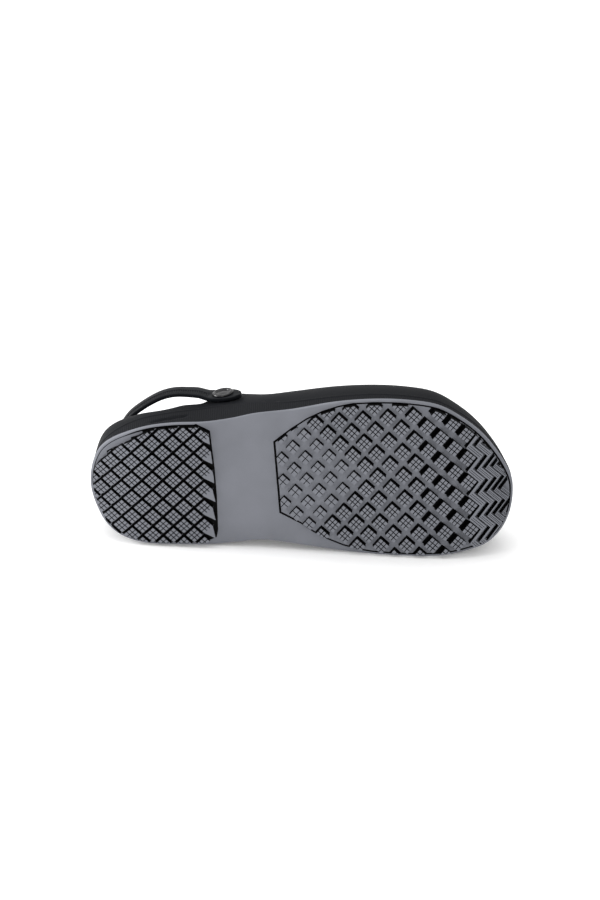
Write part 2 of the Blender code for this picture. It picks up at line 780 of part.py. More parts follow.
def make_strap(material):
    """Pivoting heel strap, round at both ends."""
    outer, inner = strap_rows()
    line = outer + inner[-2::-1]
    ends = []
    for (pivot, up, width), (neighbour, _, _) in ((line[0], line[1]), (line[-1], line[-2])):
        away = (pivot - neighbour).normalized()
        end = []
        for angle in PAD_ANGLES:
            reach, share = math.sin(math.radians(angle)), math.cos(math.radians(angle))
            end.append((pivot + away * PAD_REACH * reach, up, max(width * share, PAD_TIP)))
        ends.append(end)
    full = ends[0] + line + ends[1][::-1]
    shell = Shell()
    sections = []
    for i, (middle, up, width) in enumerate(full):
        before, after = full[max(i - 1, 0)][0], full[min(i + 1, len(full) - 1)][0]
        out = up.cross(after - before).normalized()
        section = strap_section(middle, out, up, width, STRAP_THICK)
        sections.append([shell.add(point) for point in section])
    for first, second in zip(sections, sections[1:]):
        shell.strip(first, second, closed=True)
    shell.faces.append(tuple(sections[0]))
    shell.faces.append(tuple(sections[-1]))
    return mesh_object("heel_strap", shell.points, shell.faces, material)


def turned(name, profile, material):
    """Solid of revolution about +Z from (radius, height) rows, bottom to top, closed at both ends."""
    shell = Shell()
    rings = []
    for radius, height in profile:
        ring = []
        for k in range(RIVET_SIDES):
            angle = 2 * math.pi * k / RIVET_SIDES
            ring.append(shell.add((radius * math.cos(angle), radius * math.sin(angle), height)))
        rings.append(ring)
    for first, second in zip(rings, rings[1:]):
        shell.strip(first, second, closed=True)
    shell.faces.append(tuple(rings[0]))
    shell.faces.append(tuple(rings[-1]))
    return mesh_object(name, shell.points, shell.faces, material)


def pivot_matrix(side):
    """Frame of a rivet: its +Z points out of the shoe, its origin lies on the wall."""
    here, out = pad_frame(side)
    turn = out.to_track_quat("Z", "Y").to_matrix().to_4x4()
    return Matrix.Translation(here * MM) @ turn


def make_rivets(upper, strap, material):
    """Snap rivets: domed head outside the strap pad, shank through pad and wall, washer inside."""
    rivets = []
    washer = -WALL - WASHER_GAP
    hole_radius = RIVET_SHANK + FIT_GAP
    hole_profile = ((hole_radius, -RIVET_HOLE_REACH), (hole_radius, RIVET_HOLE_REACH))
    for side, name in ((LATERAL, "strap_rivet_lateral"), (MEDIAL, "strap_rivet_medial")):
        head = FIT_GAP * 2 + STRAP_THICK + PAD_LIFT[side]
        profile = [(radius, washer + height) for radius, height in RIVET_WASHER]
        profile += [(RIVET_SHANK, washer), (RIVET_SHANK, head)]
        profile += [(radius, head + height) for radius, height in RIVET_HEAD]
        rivet = turned(name, profile, material)
        rivet.matrix_world = pivot_matrix(side)
        hole = turned(name + "_hole", hole_profile, material)
        hole.matrix_world = pivot_matrix(side)
        boolean(upper, hole, "DIFFERENCE")
        boolean(strap, hole, "DIFFERENCE")
        rivets.append(rivet)
    return rivets


def make_material(name, colour, roughness, metallic=0.0):
    material = bpy.data.materials.new(name)
    material.use_nodes = True
    shader = material.node_tree.nodes["Principled BSDF"]
    shader.inputs["Base Color"].default_value = (*colour, 1.0)
    shader.inputs["Roughness"].default_value = roughness
    shader.inputs["Metallic"].default_value = metallic
    return material


def hull_face_below(objects, middle):
    """Normal and a point of the convex hull's face that lies on the inner side, under the middle."""
    graph = bpy.context.evaluated_depsgraph_get()
    hull = bmesh.new()
    for obj in objects:
        for vertex in obj.evaluated_get(graph).to_mesh().vertices:
            hull.verts.new(obj.matrix_world @ vertex.co)
    made = bmesh.ops.convex_hull(hull, input=hull.verts)
    found = None
    for face in (part for part in made["geom"] if isinstance(part, bmesh.types.BMFace)):
        normal = face.normal
        if normal.dot(face.calc_center_median() - middle) < 0:
            normal = -normal
        if normal.y < 0.9:
            continue
        plan = [vert.co - normal * vert.co.dot(normal) for vert in face.verts]
        spot = middle - normal * middle.dot(normal)
        sides = [(b - a).cross(spot - a).dot(normal) for a, b in zip(plan, plan[1:] + plan[:1])]
        if min(sides) * max(sides) >= 0:
            found = (normal.copy(), face.verts[0].co.copy())
    hull.free()
    return found


def resting_turn(objects):
    """Rotation that lays the shoe on its inner side, toe along +X, and the height of the floor."""
    normal, point = hull_face_below(objects, Vector(MASS_MIDDLE) * MM)
    up = -normal
    forward = (Vector((1, 0, 0)) - normal * normal.x).normalized()
    turn = Matrix((forward, up.cross(forward), up)).to_4x4()
    return turn, (turn @ point).z + FLOOR_TRIM * MM


def box_middle(objects, turn):
    """Middle of the laid shoe's box, seen from above."""
    graph = bpy.context.evaluated_depsgraph_get()
    corners = []
    for obj in objects:
        for vertex in obj.evaluated_get(graph).to_mesh().vertices:
            corners.append(turn @ obj.matrix_world @ vertex.co)
    low = [min(corner[axis] for corner in corners) for axis in (0, 1)]
    high = [max(corner[axis] for corner in corners) for axis in (0, 1)]
    return Vector(((low[0] + high[0]) / 2, (low[1] + high[1]) / 2, 0.0))


def trim_flats(obj, turn, floor):
    """Cuts a shallow flat where a piece touches the floor."""
    block = Shell()
    depth, reach = FLOOR_BLOCK
    top = floor / MM
    corners = ((-reach, -reach), (reach, -reach), (reach, reach), (-reach, reach))
    prism(block, corners, level(top - depth), level(top))
    name = obj.name + "_floor"
    cutter = mesh_object(name, block.points, block.faces, obj.data.materials[0])
    cutter.matrix_world = turn.inverted()
    boolean(obj, cutter, "DIFFERENCE")
    return cutter


def main():
    for obj in list(bpy.data.objects):
        bpy.data.objects.remove(obj, do_unlink=True)
    foam = make_material("moulded_foam", (0.030, 0.031, 0.035), 0.62)
    rubber = make_material("sole_rubber", (0.155, 0.165, 0.175), 0.55)
    strap_foam = make_material("strap_foam", (0.060, 0.062, 0.068), 0.5)
    rivet_plastic = make_material("rivet_plastic", (0.045, 0.046, 0.050), 0.35)
    lining = make_material("insole_foam", (0.040, 0.040, 0.043), 0.85)

    upper = make_upper(foam)
    outsole = make_outsole(rubber)
    insole = make_insole(lining)
    strap = make_strap(strap_foam)
    rivets = make_rivets(upper, strap, rivet_plastic)
    pieces = [upper, outsole, insole, strap] + rivets

    bpy.context.view_layer.update()
    turn, floor = resting_turn(pieces)
    for piece in (upper, outsole):
        trim_flats(piece, turn, floor)

    bpy.context.view_layer.update()
    place = Matrix.Translation(-box_middle(pieces, turn) - Vector((0, 0, floor))) @ turn

    lying = bpy.data.objects.new("lying_shoe", None)
    bpy.context.scene.collection.objects.link(lying)
    for obj in list(bpy.context.scene.collection.objects):
        if obj is not lying:
            obj.parent = lying
    lying.matrix_world = place
    bpy.context.view_layer.update()


main()
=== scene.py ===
"""Looks of the kitchen clog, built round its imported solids.

A right shoe that lies on its inner side. Sizes are in millimetres, in the frame of the upright
shoe: +X to the toe, +Y to the inner side, +Z up, heel and ball lug tops on z = 0, back of the
heel at x = 0. Each section takes one piece, in the order in which the shoe is put together.
"""

import math

import bmesh
import bpy
import numpy as np
from mathutils import Matrix, Vector


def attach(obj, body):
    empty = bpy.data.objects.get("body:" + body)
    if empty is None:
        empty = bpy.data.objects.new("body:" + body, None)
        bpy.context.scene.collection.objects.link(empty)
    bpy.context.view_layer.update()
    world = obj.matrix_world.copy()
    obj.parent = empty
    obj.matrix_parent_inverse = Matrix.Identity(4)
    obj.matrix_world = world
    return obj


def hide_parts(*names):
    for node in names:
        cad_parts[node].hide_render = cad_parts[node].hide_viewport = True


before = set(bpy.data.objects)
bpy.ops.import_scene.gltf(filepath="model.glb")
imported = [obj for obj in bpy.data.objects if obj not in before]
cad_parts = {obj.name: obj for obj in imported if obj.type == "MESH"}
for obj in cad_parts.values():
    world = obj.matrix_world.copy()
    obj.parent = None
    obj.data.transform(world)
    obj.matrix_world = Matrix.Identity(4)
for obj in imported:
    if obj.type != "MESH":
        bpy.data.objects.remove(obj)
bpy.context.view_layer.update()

# Upper. One hollow moulding of black EVA foam: heel cup, quarters, vamp, closed toe box and
# footbed in one piece. It comes out of its mould matt, with a finely ribbed band low on its side
# wall and a raised ridge over that band.
MM = 0.001
LATERAL, MEDIAL = -1, 1
LENGTH = 290.0
WALL = 3.2
LIP_RISE = 1.2
# The laid shoe in the frame of the part: turn, then place in millimetres
LAID = Matrix(
    (
        (0.994773984, 0.102061853, 0.002855416, -145.277634),
        (0.0, -0.027966352, 0.999608815, -46.040718),
        (0.102101795, -0.994384825, -0.027820198, 38.158949),
        (0.0, 0.0, 0.0, 1.0),
    )
)
LYING = Matrix.Scale(MM, 4) @ LAID
UPRIGHT = Matrix.Identity(4)
# Edge of the outsole seen from below: x, outer edge y, inner edge y
OUTLINE = (
    (0.0, -2.0, -2.0),
    (3.0, -18.5, 14.2),
    (8.0, -28.0, 25.4),
    (16.0, -35.0, 34.0),
    (27.0, -40.0, 39.4),
    (42.0, -44.0, 42.7),
    (60.0, -45.4, 44.0),
    (82.0, -45.0, 45.3),
    (100.0, -46.8, 44.8),
    (116.0, -49.5, 44.2),
    (141.0, -51.2, 48.2),
    (171.0, -55.1, 54.4),
    (200.0, -55.7, 59.0),
    (225.0, -53.0, 61.4),
    (242.0, -47.8, 62.2),
    (257.0, -37.0, 60.8),
    (270.0, -23.5, 58.0),
    (280.0, -8.2, 50.6),
    (287.0, 6.5, 38.6),
    (290.0, 20.0, 20.0),
)
# Sections of the moulded body: x, height of the side ridge, crown of the vamp, fullness of the
# outer and of the inner wall (the power of its arch), height of the footbed
SECTIONS = (
    (0.0, 16.0, 95.0, 2.9, 2.6, 29.0),
    (17.0, 21.0, 76.0, 2.7, 2.4, 28.5),
    (30.0, 24.5, 70.0, 2.4, 2.1, 28.0),
    (49.0, 26.0, 66.0, 2.2, 2.0, 27.5),
    (66.0, 29.6, 76.0, 2.4, 1.9, 27.0),
    (86.0, 34.7, 97.0, 3.1, 1.8, 27.0),
    (100.0, 34.0, 97.0, 2.6, 1.8, 26.0),
    (120.0, 27.0, 93.0, 1.95, 1.85, 24.0),
    (142.0, 22.0, 92.5, 2.15, 2.1, 21.0),
    (170.0, 17.8, 89.0, 2.2, 2.15, 18.5),
    (200.0, 17.0, 84.5, 2.25, 2.2, 17.0),
    (225.0, 15.5, 81.5, 2.35, 2.3, 16.5),
    (245.0, 15.0, 79.5, 2.45, 2.3, 16.0),
    (270.0, 14.5, 77.0, 2.5, 2.3, 16.0),
    (290.0, 14.0, 75.0, 2.5, 2.3, 16.0),
)
# Collar rim: x, height. The last row is the throat, where the rim meets the crown.
RIM = (
    (0.0, 45.0),
    (25.0, 43.5),
    (50.0, 44.5),
    (70.0, 46.5),
    (78.0, 50.0),
    (84.0, 59.0),
    (90.0, 69.0),
    (98.0, 75.0),
    (108.0, 76.5),
    (118.0, 79.0),
    (126.0, 84.0),
    (133.0, 88.5),
    (138.5, 91.4),
    (142.0, 92.5),
)
THROAT_X = RIM[-1][0]
# The crown line is shorter than the sole, so heel and toe columns lean towards it
CROWN_BACK, CROWN_MIDDLE, CROWN_FRONT = 45.0, 150.0, 232.0
# Side wall: inset from the edge of the sole
FOOT_INSET, BAND_INSET, RIDGE_INSET, STEP_INSET, PLAIN_INSET = 0.9, 0.6, 0.3, 1.3, 0.9
BAND_LEAST, STEP_RISE = 3.0, 1.0
# Foot of the band: inset and height; then how far its levels stay from the foot and the ridge
BAND_FOOT, BAND_ENDS = (0.1, 0.6), (1.2, 1.6)
RIDGE_FADE = ((84.0, 98.0), (128.0, 142.0))
TUCK, TUCK_FADE = 2.0, ((62.0, 84.0), (103.0, 124.0))
RIDGE_BEAD = ((0.6, -1.1), (0.9, -0.8), (1.0, -0.4), (1.0, 0.1), (0.85, 0.5), (0.5, 0.8))
FOOTBED_FILLET, FOOTBED_DISH = 3.0, 1.6
FILLET_SHARES, FILLET_POWER = (0.7, 0.3, 0.1, 0.0), 1.5
FOOTBED_SHARES = tuple(np.linspace(0, 1, 13)[1:-1])
JOINT_Z = 7.4
SPRING_START, SPRING_RADIUS = 215.0, 155.0
BEVEL_START, BEVEL_RADIUS = 40.0, 114.0
COLUMNS_BETWEEN = 5
BAND_LEVELS, ARCH_LEVELS, LINING_LEVELS, LIP_LEVELS = 12, 30, 22, 5
RIBBED_ROWS = range(2, BAND_LEVELS + 4)
HEEL_COLUMNS, QUARTER_COLUMNS, THROAT_COLUMNS, TOE_COLUMNS = 8, 10, 5, 15
HEEL_COLUMNS_END, QUARTER_START, QUARTER_END = 54.0, 62.0, 118.0
THROAT_REACH, THROAT_POWER = 18.0, 1.6
# Leaf-shaped groove on the outer heel wall: x and z of its ends, its width and depth, the power
# by which it narrows, and the share of its width at full depth
LEAF_BACK, LEAF_FRONT, LEAF_WIDTH, LEAF_DEPTH = (43.0, 12.6), (70.0, 19.4), 2.4, 1.7
LEAF_POWER, LEAF_FLOOR = 0.6, 0.35
# Fine ribs of the band
RIB_PITCH, RIB_DEPTH = 1.5, 0.06
# Points this close become one; wider angles than this stay sharp; a length that counts as none
WELD, SHARP_ANGLE, NEARLY_ZERO = 0.004, 38.0, 1e-6


def through(table, column, x):
    """Smooth curve through a table's rows: cubics whose slopes are those of its neighbours."""
    xs = [row[0] for row in table]
    ys = [row[column] for row in table]
    x = min(max(x, xs[0]), xs[-1])
    i = max(k for k in range(len(xs) - 1) if xs[k] <= x)

    def slope(k):
        low, high = max(k - 1, 0), min(k + 1, len(xs) - 1)
        return (ys[high] - ys[low]) / (xs[high] - xs[low])

    h = xs[i + 1] - xs[i]
    t = (x - xs[i]) / h
    return (
        (2 * t**3 - 3 * t**2 + 1) * ys[i]
        + (t**3 - 2 * t**2 + t) * h * slope(i)
        + (3 * t**2 - 2 * t**3) * ys[i + 1]
        + (t**3 - t**2) * h * slope(i + 1)
    )


def ramp(value, start, end):
    """0 before start, 1 after end, smooth between."""
    t = min(max((value - start) / (end - start), 0.0), 1.0)
    return t * t * (3 - 2 * t)


def swell(value, rise, fall):
    """0 before the rise, 1 between it and the fall, 0 after the fall; both smooth."""
    return ramp(value, *rise) - ramp(value, *fall)


def blend(first, second, share):
    return first + (second - first) * share


def turn_of(x):
    """A place on the outline is named by its turn: 0 at the heel, 1 at the toe."""
    return math.acos(min(max(1 - 2 * x / LENGTH, -1), 1)) / math.pi


def x_of(turn):
    return LENGTH * (1 - math.cos(math.pi * turn)) / 2


TURN_OUTLINE = tuple((turn_of(x), outer, inner) for x, outer, inner in OUTLINE)


def outline_y(turn, side):
    return through(TURN_OUTLINE, 1 if side == LATERAL else 2, turn)


def edge(turn, side, inset=0.0):
    """Point of the outline, moved inwards by inset."""
    step = 1e-3
    before, after = max(turn - step, 0.0), min(turn + step, 1.0)
    along = Vector((x_of(after) - x_of(before), outline_y(after, side) - outline_y(before, side)))
    if turn in (0.0, 1.0):
        along = Vector((0.0, side if turn == 0.0 else -side))
    along.normalize()
    inwards = Vector((along.y, -along.x)) * side
    return Vector((x_of(turn), outline_y(turn, side))) + inwards * inset


def lift(x):
    """How far the sole is lifted by the toe spring and the heel bevel."""
    if x > SPRING_START:
        return SPRING_RADIUS - math.sqrt(SPRING_RADIUS**2 - (x - SPRING_START) ** 2)
    if x < BEVEL_START:
        return BEVEL_RADIUS - math.sqrt(BEVEL_RADIUS**2 - (BEVEL_START - x) ** 2)
    return 0.0


def spring(x):
    return lift(x) if x > SPRING_START else 0.0


def lean(x):
    """Sine of the slope of the underside: above 0 over the toe spring, below 0 over the heel."""
    if x > SPRING_START:
        return (x - SPRING_START) / SPRING_RADIUS
    return min(x - BEVEL_START, 0.0) / BEVEL_RADIUS


def crown_point(x):
    """Point of the crown line that the column at x arches to."""
    if x < CROWN_MIDDLE:
        crown_x = blend(CROWN_BACK, CROWN_MIDDLE, x / CROWN_MIDDLE)
    else:
        share = (x - CROWN_MIDDLE) / (LENGTH - CROWN_MIDDLE)
        crown_x = blend(CROWN_MIDDLE, CROWN_FRONT, share)
    turn = turn_of(crown_x)
    middle = (outline_y(turn, LATERAL) + outline_y(turn, MEDIAL)) / 2
    return Vector((crown_x, middle, through(SECTIONS, 2, x)))


class Column:
    """One upright section of the side wall, at a turn of the outline."""

    def __init__(self, turn, side):
        self.turn, self.side, self.x = turn, side, x_of(turn)
        self.crown = crown_point(self.x)
        self.power = through(SECTIONS, 3 if side == LATERAL else 4, self.x)
        self.joint = JOINT_Z + lift(self.x)
        self.ridge = max(through(SECTIONS, 1, self.x) + spring(self.x), self.joint + BAND_LEAST)
        self.share = 1 - swell(self.x, *RIDGE_FADE)
        self.spring_line = self.ridge + STEP_RISE
        self.step_inset = blend(PLAIN_INSET, STEP_INSET, self.share)
        self.step_inset += TUCK * swell(self.x, *TUCK_FADE)

    def at(self, inset, z):
        point = edge(self.turn, self.side, inset)
        return Vector((point.x, point.y, z))

    def arch(self, angle, depth=0.0):
        """Point of the arch, angle from 0 at its foot to a quarter turn at the crown."""
        foot = self.at(self.step_inset + depth, self.spring_line)
        over = 1 - max(math.cos(angle), 0.0) ** (2 / self.power)
        up = max(math.sin(angle), 0.0) ** (2 / self.power)
        plan = foot.lerp(self.crown, over)
        return Vector((plan.x, plan.y, foot.z + (self.crown.z - depth - foot.z) * up))

    def angle_at(self, z, depth=0.0):
        rise = (z - self.spring_line) / (self.crown.z - depth - self.spring_line)
        return math.asin(min(max(rise, 0.0), 1.0) ** (self.power / 2))

    def rim_angle(self):
        if self.x >= THROAT_X - NEARLY_ZERO:
            return math.pi / 2
        return self.angle_at(through(RIM, 1, self.x))


def footbed_height(x, across=0.0):
    """Top of the footbed; across is -1 and 1 at its edges and 0 in its middle."""
    return through(SECTIONS, 5, x) + spring(x) - FOOTBED_DISH * (1 - across * across)


def leaf_depth(x, z):
    """Depth of the leaf-shaped groove at a place on the outer wall."""
    back, front = Vector(LEAF_BACK), Vector(LEAF_FRONT)
    along = front - back
    share = (Vector((x, z)) - back).dot(along) / along.length_squared
    if not 0 < share < 1:
        return 0.0
    away = (Vector((x, z)) - back - along * share).length
    width = LEAF_WIDTH * math.sin(math.pi * share) ** LEAF_POWER
    return LEAF_DEPTH * (1 - ramp(away, width * LEAF_FLOOR, width))


def band_rows(column):
    """Side wall from the joint with the outsole to the ridge, inset of each level."""
    ridge_inset = blend(PLAIN_INSET, RIDGE_INSET, column.share)
    band_inset = blend(PLAIN_INSET, BAND_INSET, column.share)
    rows = [column.at(FOOT_INSET, column.joint)]
    rows.append(column.at(band_inset + BAND_FOOT[0], column.joint + BAND_FOOT[1]))
    low, high = column.joint + BAND_ENDS[0], column.ridge - BAND_ENDS[1]
    for z in np.linspace(low, high, BAND_LEVELS):
        groove = leaf_depth(column.x, z) if column.side == LATERAL else 0.0
        rows.append(column.at(band_inset + groove, z))
    for share, rise in RIDGE_BEAD:
        rows.append(column.at(blend(band_inset, ridge_inset, share), column.ridge + rise))
    return rows


def outer_rows(column):
    top = column.rim_angle()
    return band_rows(column) + [column.arch(top * k / ARCH_LEVELS) for k in range(ARCH_LEVELS + 1)]


def lip_rows(column):
    """Rounded top of the collar rim, from the outer to the inner face."""
    top = column.rim_angle()
    outer, inner = column.arch(top), column.arch(top, WALL)
    rows = []
    for k in range(1, LIP_LEVELS + 1):
        angle = math.pi * k / (LIP_LEVELS + 1)
        point = outer.lerp(inner, (1 - math.cos(angle)) / 2)
        point.z += LIP_RISE * math.sin(angle)
        rows.append(point)
    return rows


def lining_rows(column):
    top = column.rim_angle()
    floor = footbed_height(column.x, 1.0)
    low = column.angle_at(floor + FOOTBED_FILLET + STEP_RISE, WALL)
    steps = range(LINING_LEVELS + 1)
    rows = [column.arch(blend(top, low, k / LINING_LEVELS), WALL) for k in steps]
    base = column.step_inset + WALL
    for share in FILLET_SHARES:
        in_by, up_by = (FOOTBED_FILLET * part**FILLET_POWER for part in (1 - share, share))
        rows.append(column.at(base + in_by, floor + up_by))
    return rows


def body_turns():
    """Turns of the columns: close together at heel, collar and toe."""
    heel = list(np.linspace(0.0, turn_of(HEEL_COLUMNS_END), HEEL_COLUMNS))
    quarter = [turn_of(x) for x in np.linspace(QUARTER_START, QUARTER_END, QUARTER_COLUMNS)]
    steps = [(1 - k / THROAT_COLUMNS) ** THROAT_POWER for k in range(THROAT_COLUMNS + 1)]
    throat = [turn_of(THROAT_X - THROAT_REACH * step) for step in steps]
    toe = list(np.linspace(turn_of(THROAT_X), 1.0, TOE_COLUMNS))[1:]
    coarse = heel + quarter + throat + toe
    places = np.arange((len(coarse) - 1) * COLUMNS_BETWEEN + 1) / COLUMNS_BETWEEN
    return [float(turn) for turn in np.interp(places, range(len(coarse)), coarse)]


def even_turns(count, start=0.0, end=1.0):
    return [float(turn) for turn in np.linspace(start, end, count)]


def loop_of(turns):
    """(turn, side) of the columns all the way round: up the outer side, down the inner one."""
    return [(turn, LATERAL) for turn in turns] + [(turn, MEDIAL) for turn in turns[-2:0:-1]]


def placed(name, data):
    """New object in the scene."""
    obj = bpy.data.objects.new(name, data)
    bpy.context.scene.collection.objects.link(obj)
    return obj


def meshed(bm, name, finishes, sharp_angle):
    """Object of a bmesh, which is freed; edges over the angle stay sharp."""
    mesh = bpy.data.meshes.new(name)
    bm.to_mesh(mesh)
    bm.free()
    for finish in finishes:
        mesh.materials.append(finish)
    mesh.shade_smooth()
    mesh.set_sharp_from_angle(angle=math.radians(sharp_angle))
    return placed(name, mesh)


class Shape:
    """Points in millimetres, faces with a material number each, and named values on points."""

    def __init__(self):
        self.points, self.faces, self.values = [], [], {}

    def add(self, point, **values):
        self.points.append(Vector(point))
        for name, value in values.items():
            self.values.setdefault(name, {})[len(self.points) - 1] = value
        return len(self.points) - 1

    def face(self, corners, finish=0):
        self.faces.append((tuple(corners), finish))

    def strip(self, first, second, closed=False, finish=0):
        count = len(first)
        for i in range(count if closed else count - 1):
            j = (i + 1) % count
            self.face((first[i], first[j], second[j], second[i]), finish)

    def skin(self, rows, looped=False, closed=False, finish=0):
        """Strips from row to row; looped also joins the last to the first."""
        for first, second in zip(rows, rows[1:] + rows[:1] if looped else rows[1:]):
            self.strip(first, second, closed, finish)

    def across(self, turns, ring, shares, height):
        """Fills between the outer and inner halves of a ring with rows of points across."""
        rows, last = [], len(turns) - 1
        for i in range(len(turns)):
            outer = ring[i]
            if i in (0, last):
                rows.append([outer] * (len(shares) + 2))
                continue
            a, b = self.points[outer], self.points[ring[-i]]
            row = [outer]
            for share in shares:
                point = a.lerp(b, share)
                point.z = height(point, 2 * share - 1)
                row.append(self.add(point))
            rows.append(row + [ring[-i]])
        self.skin(rows)

    def made(self, name, finishes, place=LYING):
        """The mesh object, with points that all but touch made one."""
        bm = bmesh.new()
        layers = {key: bm.verts.layers.float.new(key) for key in self.values}
        verts = [bm.verts.new(point) for point in self.points]
        for key, layer in layers.items():
            for i, value in self.values[key].items():
                verts[i][layer] = value
        for corners, finish in self.faces:
            corners = list(dict.fromkeys(corners))
            if len(corners) > 2:
                bm.faces.new([verts[i] for i in corners]).material_index = finish
        bmesh.ops.remove_doubles(bm, verts=bm.verts, dist=WELD)
        bmesh.ops.recalc_face_normals(bm, faces=bm.faces)
        bm.transform(place)
        return meshed(bm, name, finishes, SHARP_ANGLE)


def rim_rows(shape, turns, levels_at):
    """Side of a closed layer round the outline, from the inset and z of each level of a column."""
    rows = []
    for turn, side in loop_of(turns):
        levels = levels_at(turn, side)
        rows.append([shape.add((*edge(turn, side, inset), z)) for inset, z in levels])
    shape.skin(rows, looped=True)
    return rows


def linear(code):
    """Scene colour of an sRGB hex code."""
    channels = [int(code[i : i + 2], 16) / 255 for i in (1, 3, 5)]
    return (*(c / 12.92 if c <= 0.04045 else ((c + 0.055) / 1.055) ** 2.4 for c in channels), 1.0)


def add_node(tree, kind, sockets=None, **settings):
    """Adds a node. Sockets maps an input's name or number to a value or to another's output."""
    made = tree.nodes.new(kind)
    for key, value in settings.items():
        setattr(made, key, value)
    for key, value in (sockets or {}).items():
        if isinstance(value, bpy.types.NodeSocket):
            tree.links.new(value, made.inputs[key])
        else:
            made.inputs[key].default_value = value
    return made


class Finish:
    """A material of one Principled shader, tinted between two colours by a soft cloud."""

    def __init__(self, name, tints, scale, detail=2.0, **sockets):
        self.material = bpy.data.materials.new(name)
        self.material.use_nodes = True
        self.tree = self.material.node_tree
        self.shader = self.tree.nodes["Principled BSDF"]
        for key, value in sockets.items():
            self.shader.inputs[key.replace("_", " ")].default_value = value
        self.place = self.node("TexCoord").outputs["Object"]
        self.cloud, self.normal = self.noise(scale, detail), None
        colours = {6: linear(tints[0]), 7: linear(tints[1])}
        tint = self.node("Mix", {0: self.cloud, **colours}, data_type="RGBA")
        self.tree.links.new(tint.outputs[2], self.shader.inputs["Base Color"])

    def node(self, kind, sockets=None, **settings):
        return add_node(self.tree, "ShaderNode" + kind, sockets, **settings)

    def noise(self, scale, detail):
        sockets = {"Vector": self.place, "Scale": scale, "Detail": detail}
        return self.node("TexNoise", sockets).outputs["Fac"]

    def calculated(self, operation, *values):
        return self.node("Math", dict(enumerate(values)), operation=operation).outputs[0]

    def roughened(self, low, high):
        """Roughness that follows the cloud."""
        rough = self.node("MapRange", {"Value": self.cloud, "To Min": low, "To Max": high})
        self.tree.links.new(rough.outputs["Result"], self.shader.inputs["Roughness"])

    def raised(self, height, distance, strength):
        """Relief in millimetres, over any that is there."""
        sockets = {"Height": height, "Distance": distance * MM, "Strength": strength}
        if self.normal:
            sockets["Normal"] = self.normal
        self.normal = self.node("Bump", sockets).outputs["Normal"]
        self.tree.links.new(self.normal, self.shader.inputs["Normal"])


def upper_foam():
    """EVA foam as moulded: matt closed skin with a grain of about 0.5 mm and faint clouding."""
    tints, sockets = ("#151618", "#1d1e21"), {"Specular_IOR_Level": 0.022}
    foam = Finish("moulded_eva_foam", tints, scale=55.0, detail=4.0, **sockets)
    foam.roughened(low=0.5, high=0.66)
    girth = foam.node("Attribute", attribute_name="girth").outputs["Fac"]
    band = foam.node("Attribute", attribute_name="band").outputs["Fac"]
    wave = foam.calculated("MULTIPLY", girth, 2 * math.pi / RIB_PITCH)
    ribs = foam.calculated("MULTIPLY", foam.calculated("SINE", wave), band)
    foam.raised(ribs, distance=RIB_DEPTH, strength=1.0)
    foam.raised(foam.noise(scale=1900.0, detail=3.0), distance=0.06, strength=0.7)
    return foam.material


turns = body_turns()
columns = [Column(turn, side) for turn, side in loop_of(turns)]
girths = {LATERAL: {0.0: 0.0}, MEDIAL: {0.0: 0.0}}
for side in girths:
    for before, after in zip(turns, turns[1:]):
        reach = (edge(after, side) - edge(before, side)).length
        girths[side][after] = girths[side][before] + reach

upper_shape = Shape()
outside, inside = [], []
for column in columns:
    girth = girths[column.side][column.turn]
    outside.append([])
    for k, point in enumerate(outer_rows(column)):
        band = 1.0 if k in RIBBED_ROWS else 0.0
        outside[-1].append(upper_shape.add(point, girth=girth, band=band))
    inside.append([upper_shape.add(point, girth=girth, band=0.0) for point in lining_rows(column)])
upper_shape.skin(outside, looped=True)
upper_shape.skin(inside, looped=True)
open_ring = [i for i, column in enumerate(columns) if column.x <= THROAT_X + NEARLY_ZERO]
start = next(k for k in range(1, len(open_ring)) if open_ring[k] != open_ring[k - 1] + 1)
collar = open_ring[start:] + open_ring[:start]
rails = [[outside[i][-1] for i in collar]]
lips = [[upper_shape.add(point) for point in lip_rows(columns[i])] for i in collar]
rails += [[row[k] for row in lips] for k in range(LIP_LEVELS)]
rails += [[inside[i][0] for i in collar]]
upper_shape.skin(rails)
upper_shape.across(turns, [rows[0] for rows in outside], (), None)
inner_ring = [rows[-1] for rows in inside]
upper_shape.across(turns, inner_ring, FOOTBED_SHARES, lambda p, a: footbed_height(p.x, a))
upper = upper_shape.made("upper_moulding", [upper_foam()])
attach(upper, "root")
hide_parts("upper")

# Outsole. A slab of grey moulded rubber, cemented under the upper. Its smooth parts and the tops
# of its lugs have the mould's blasted, light grey finish; the walls of lugs, grooves and sipes, the
# floor between the heel lugs and strips beside the ball lugs and in the toe's grooves are painted
# near black, as painted shade and painted shadow.
FIT_GAP = 0.3
# Underside of the slab, and the scoop at both edges of its waist
BASE_Z = 3.8
ARCH_SCOOP, SCOOP_MIDDLE, SCOOP_REACH, SCOOP_START = 1.8, 108.0, 34.0, 0.45
SLAB_COLUMNS = 145
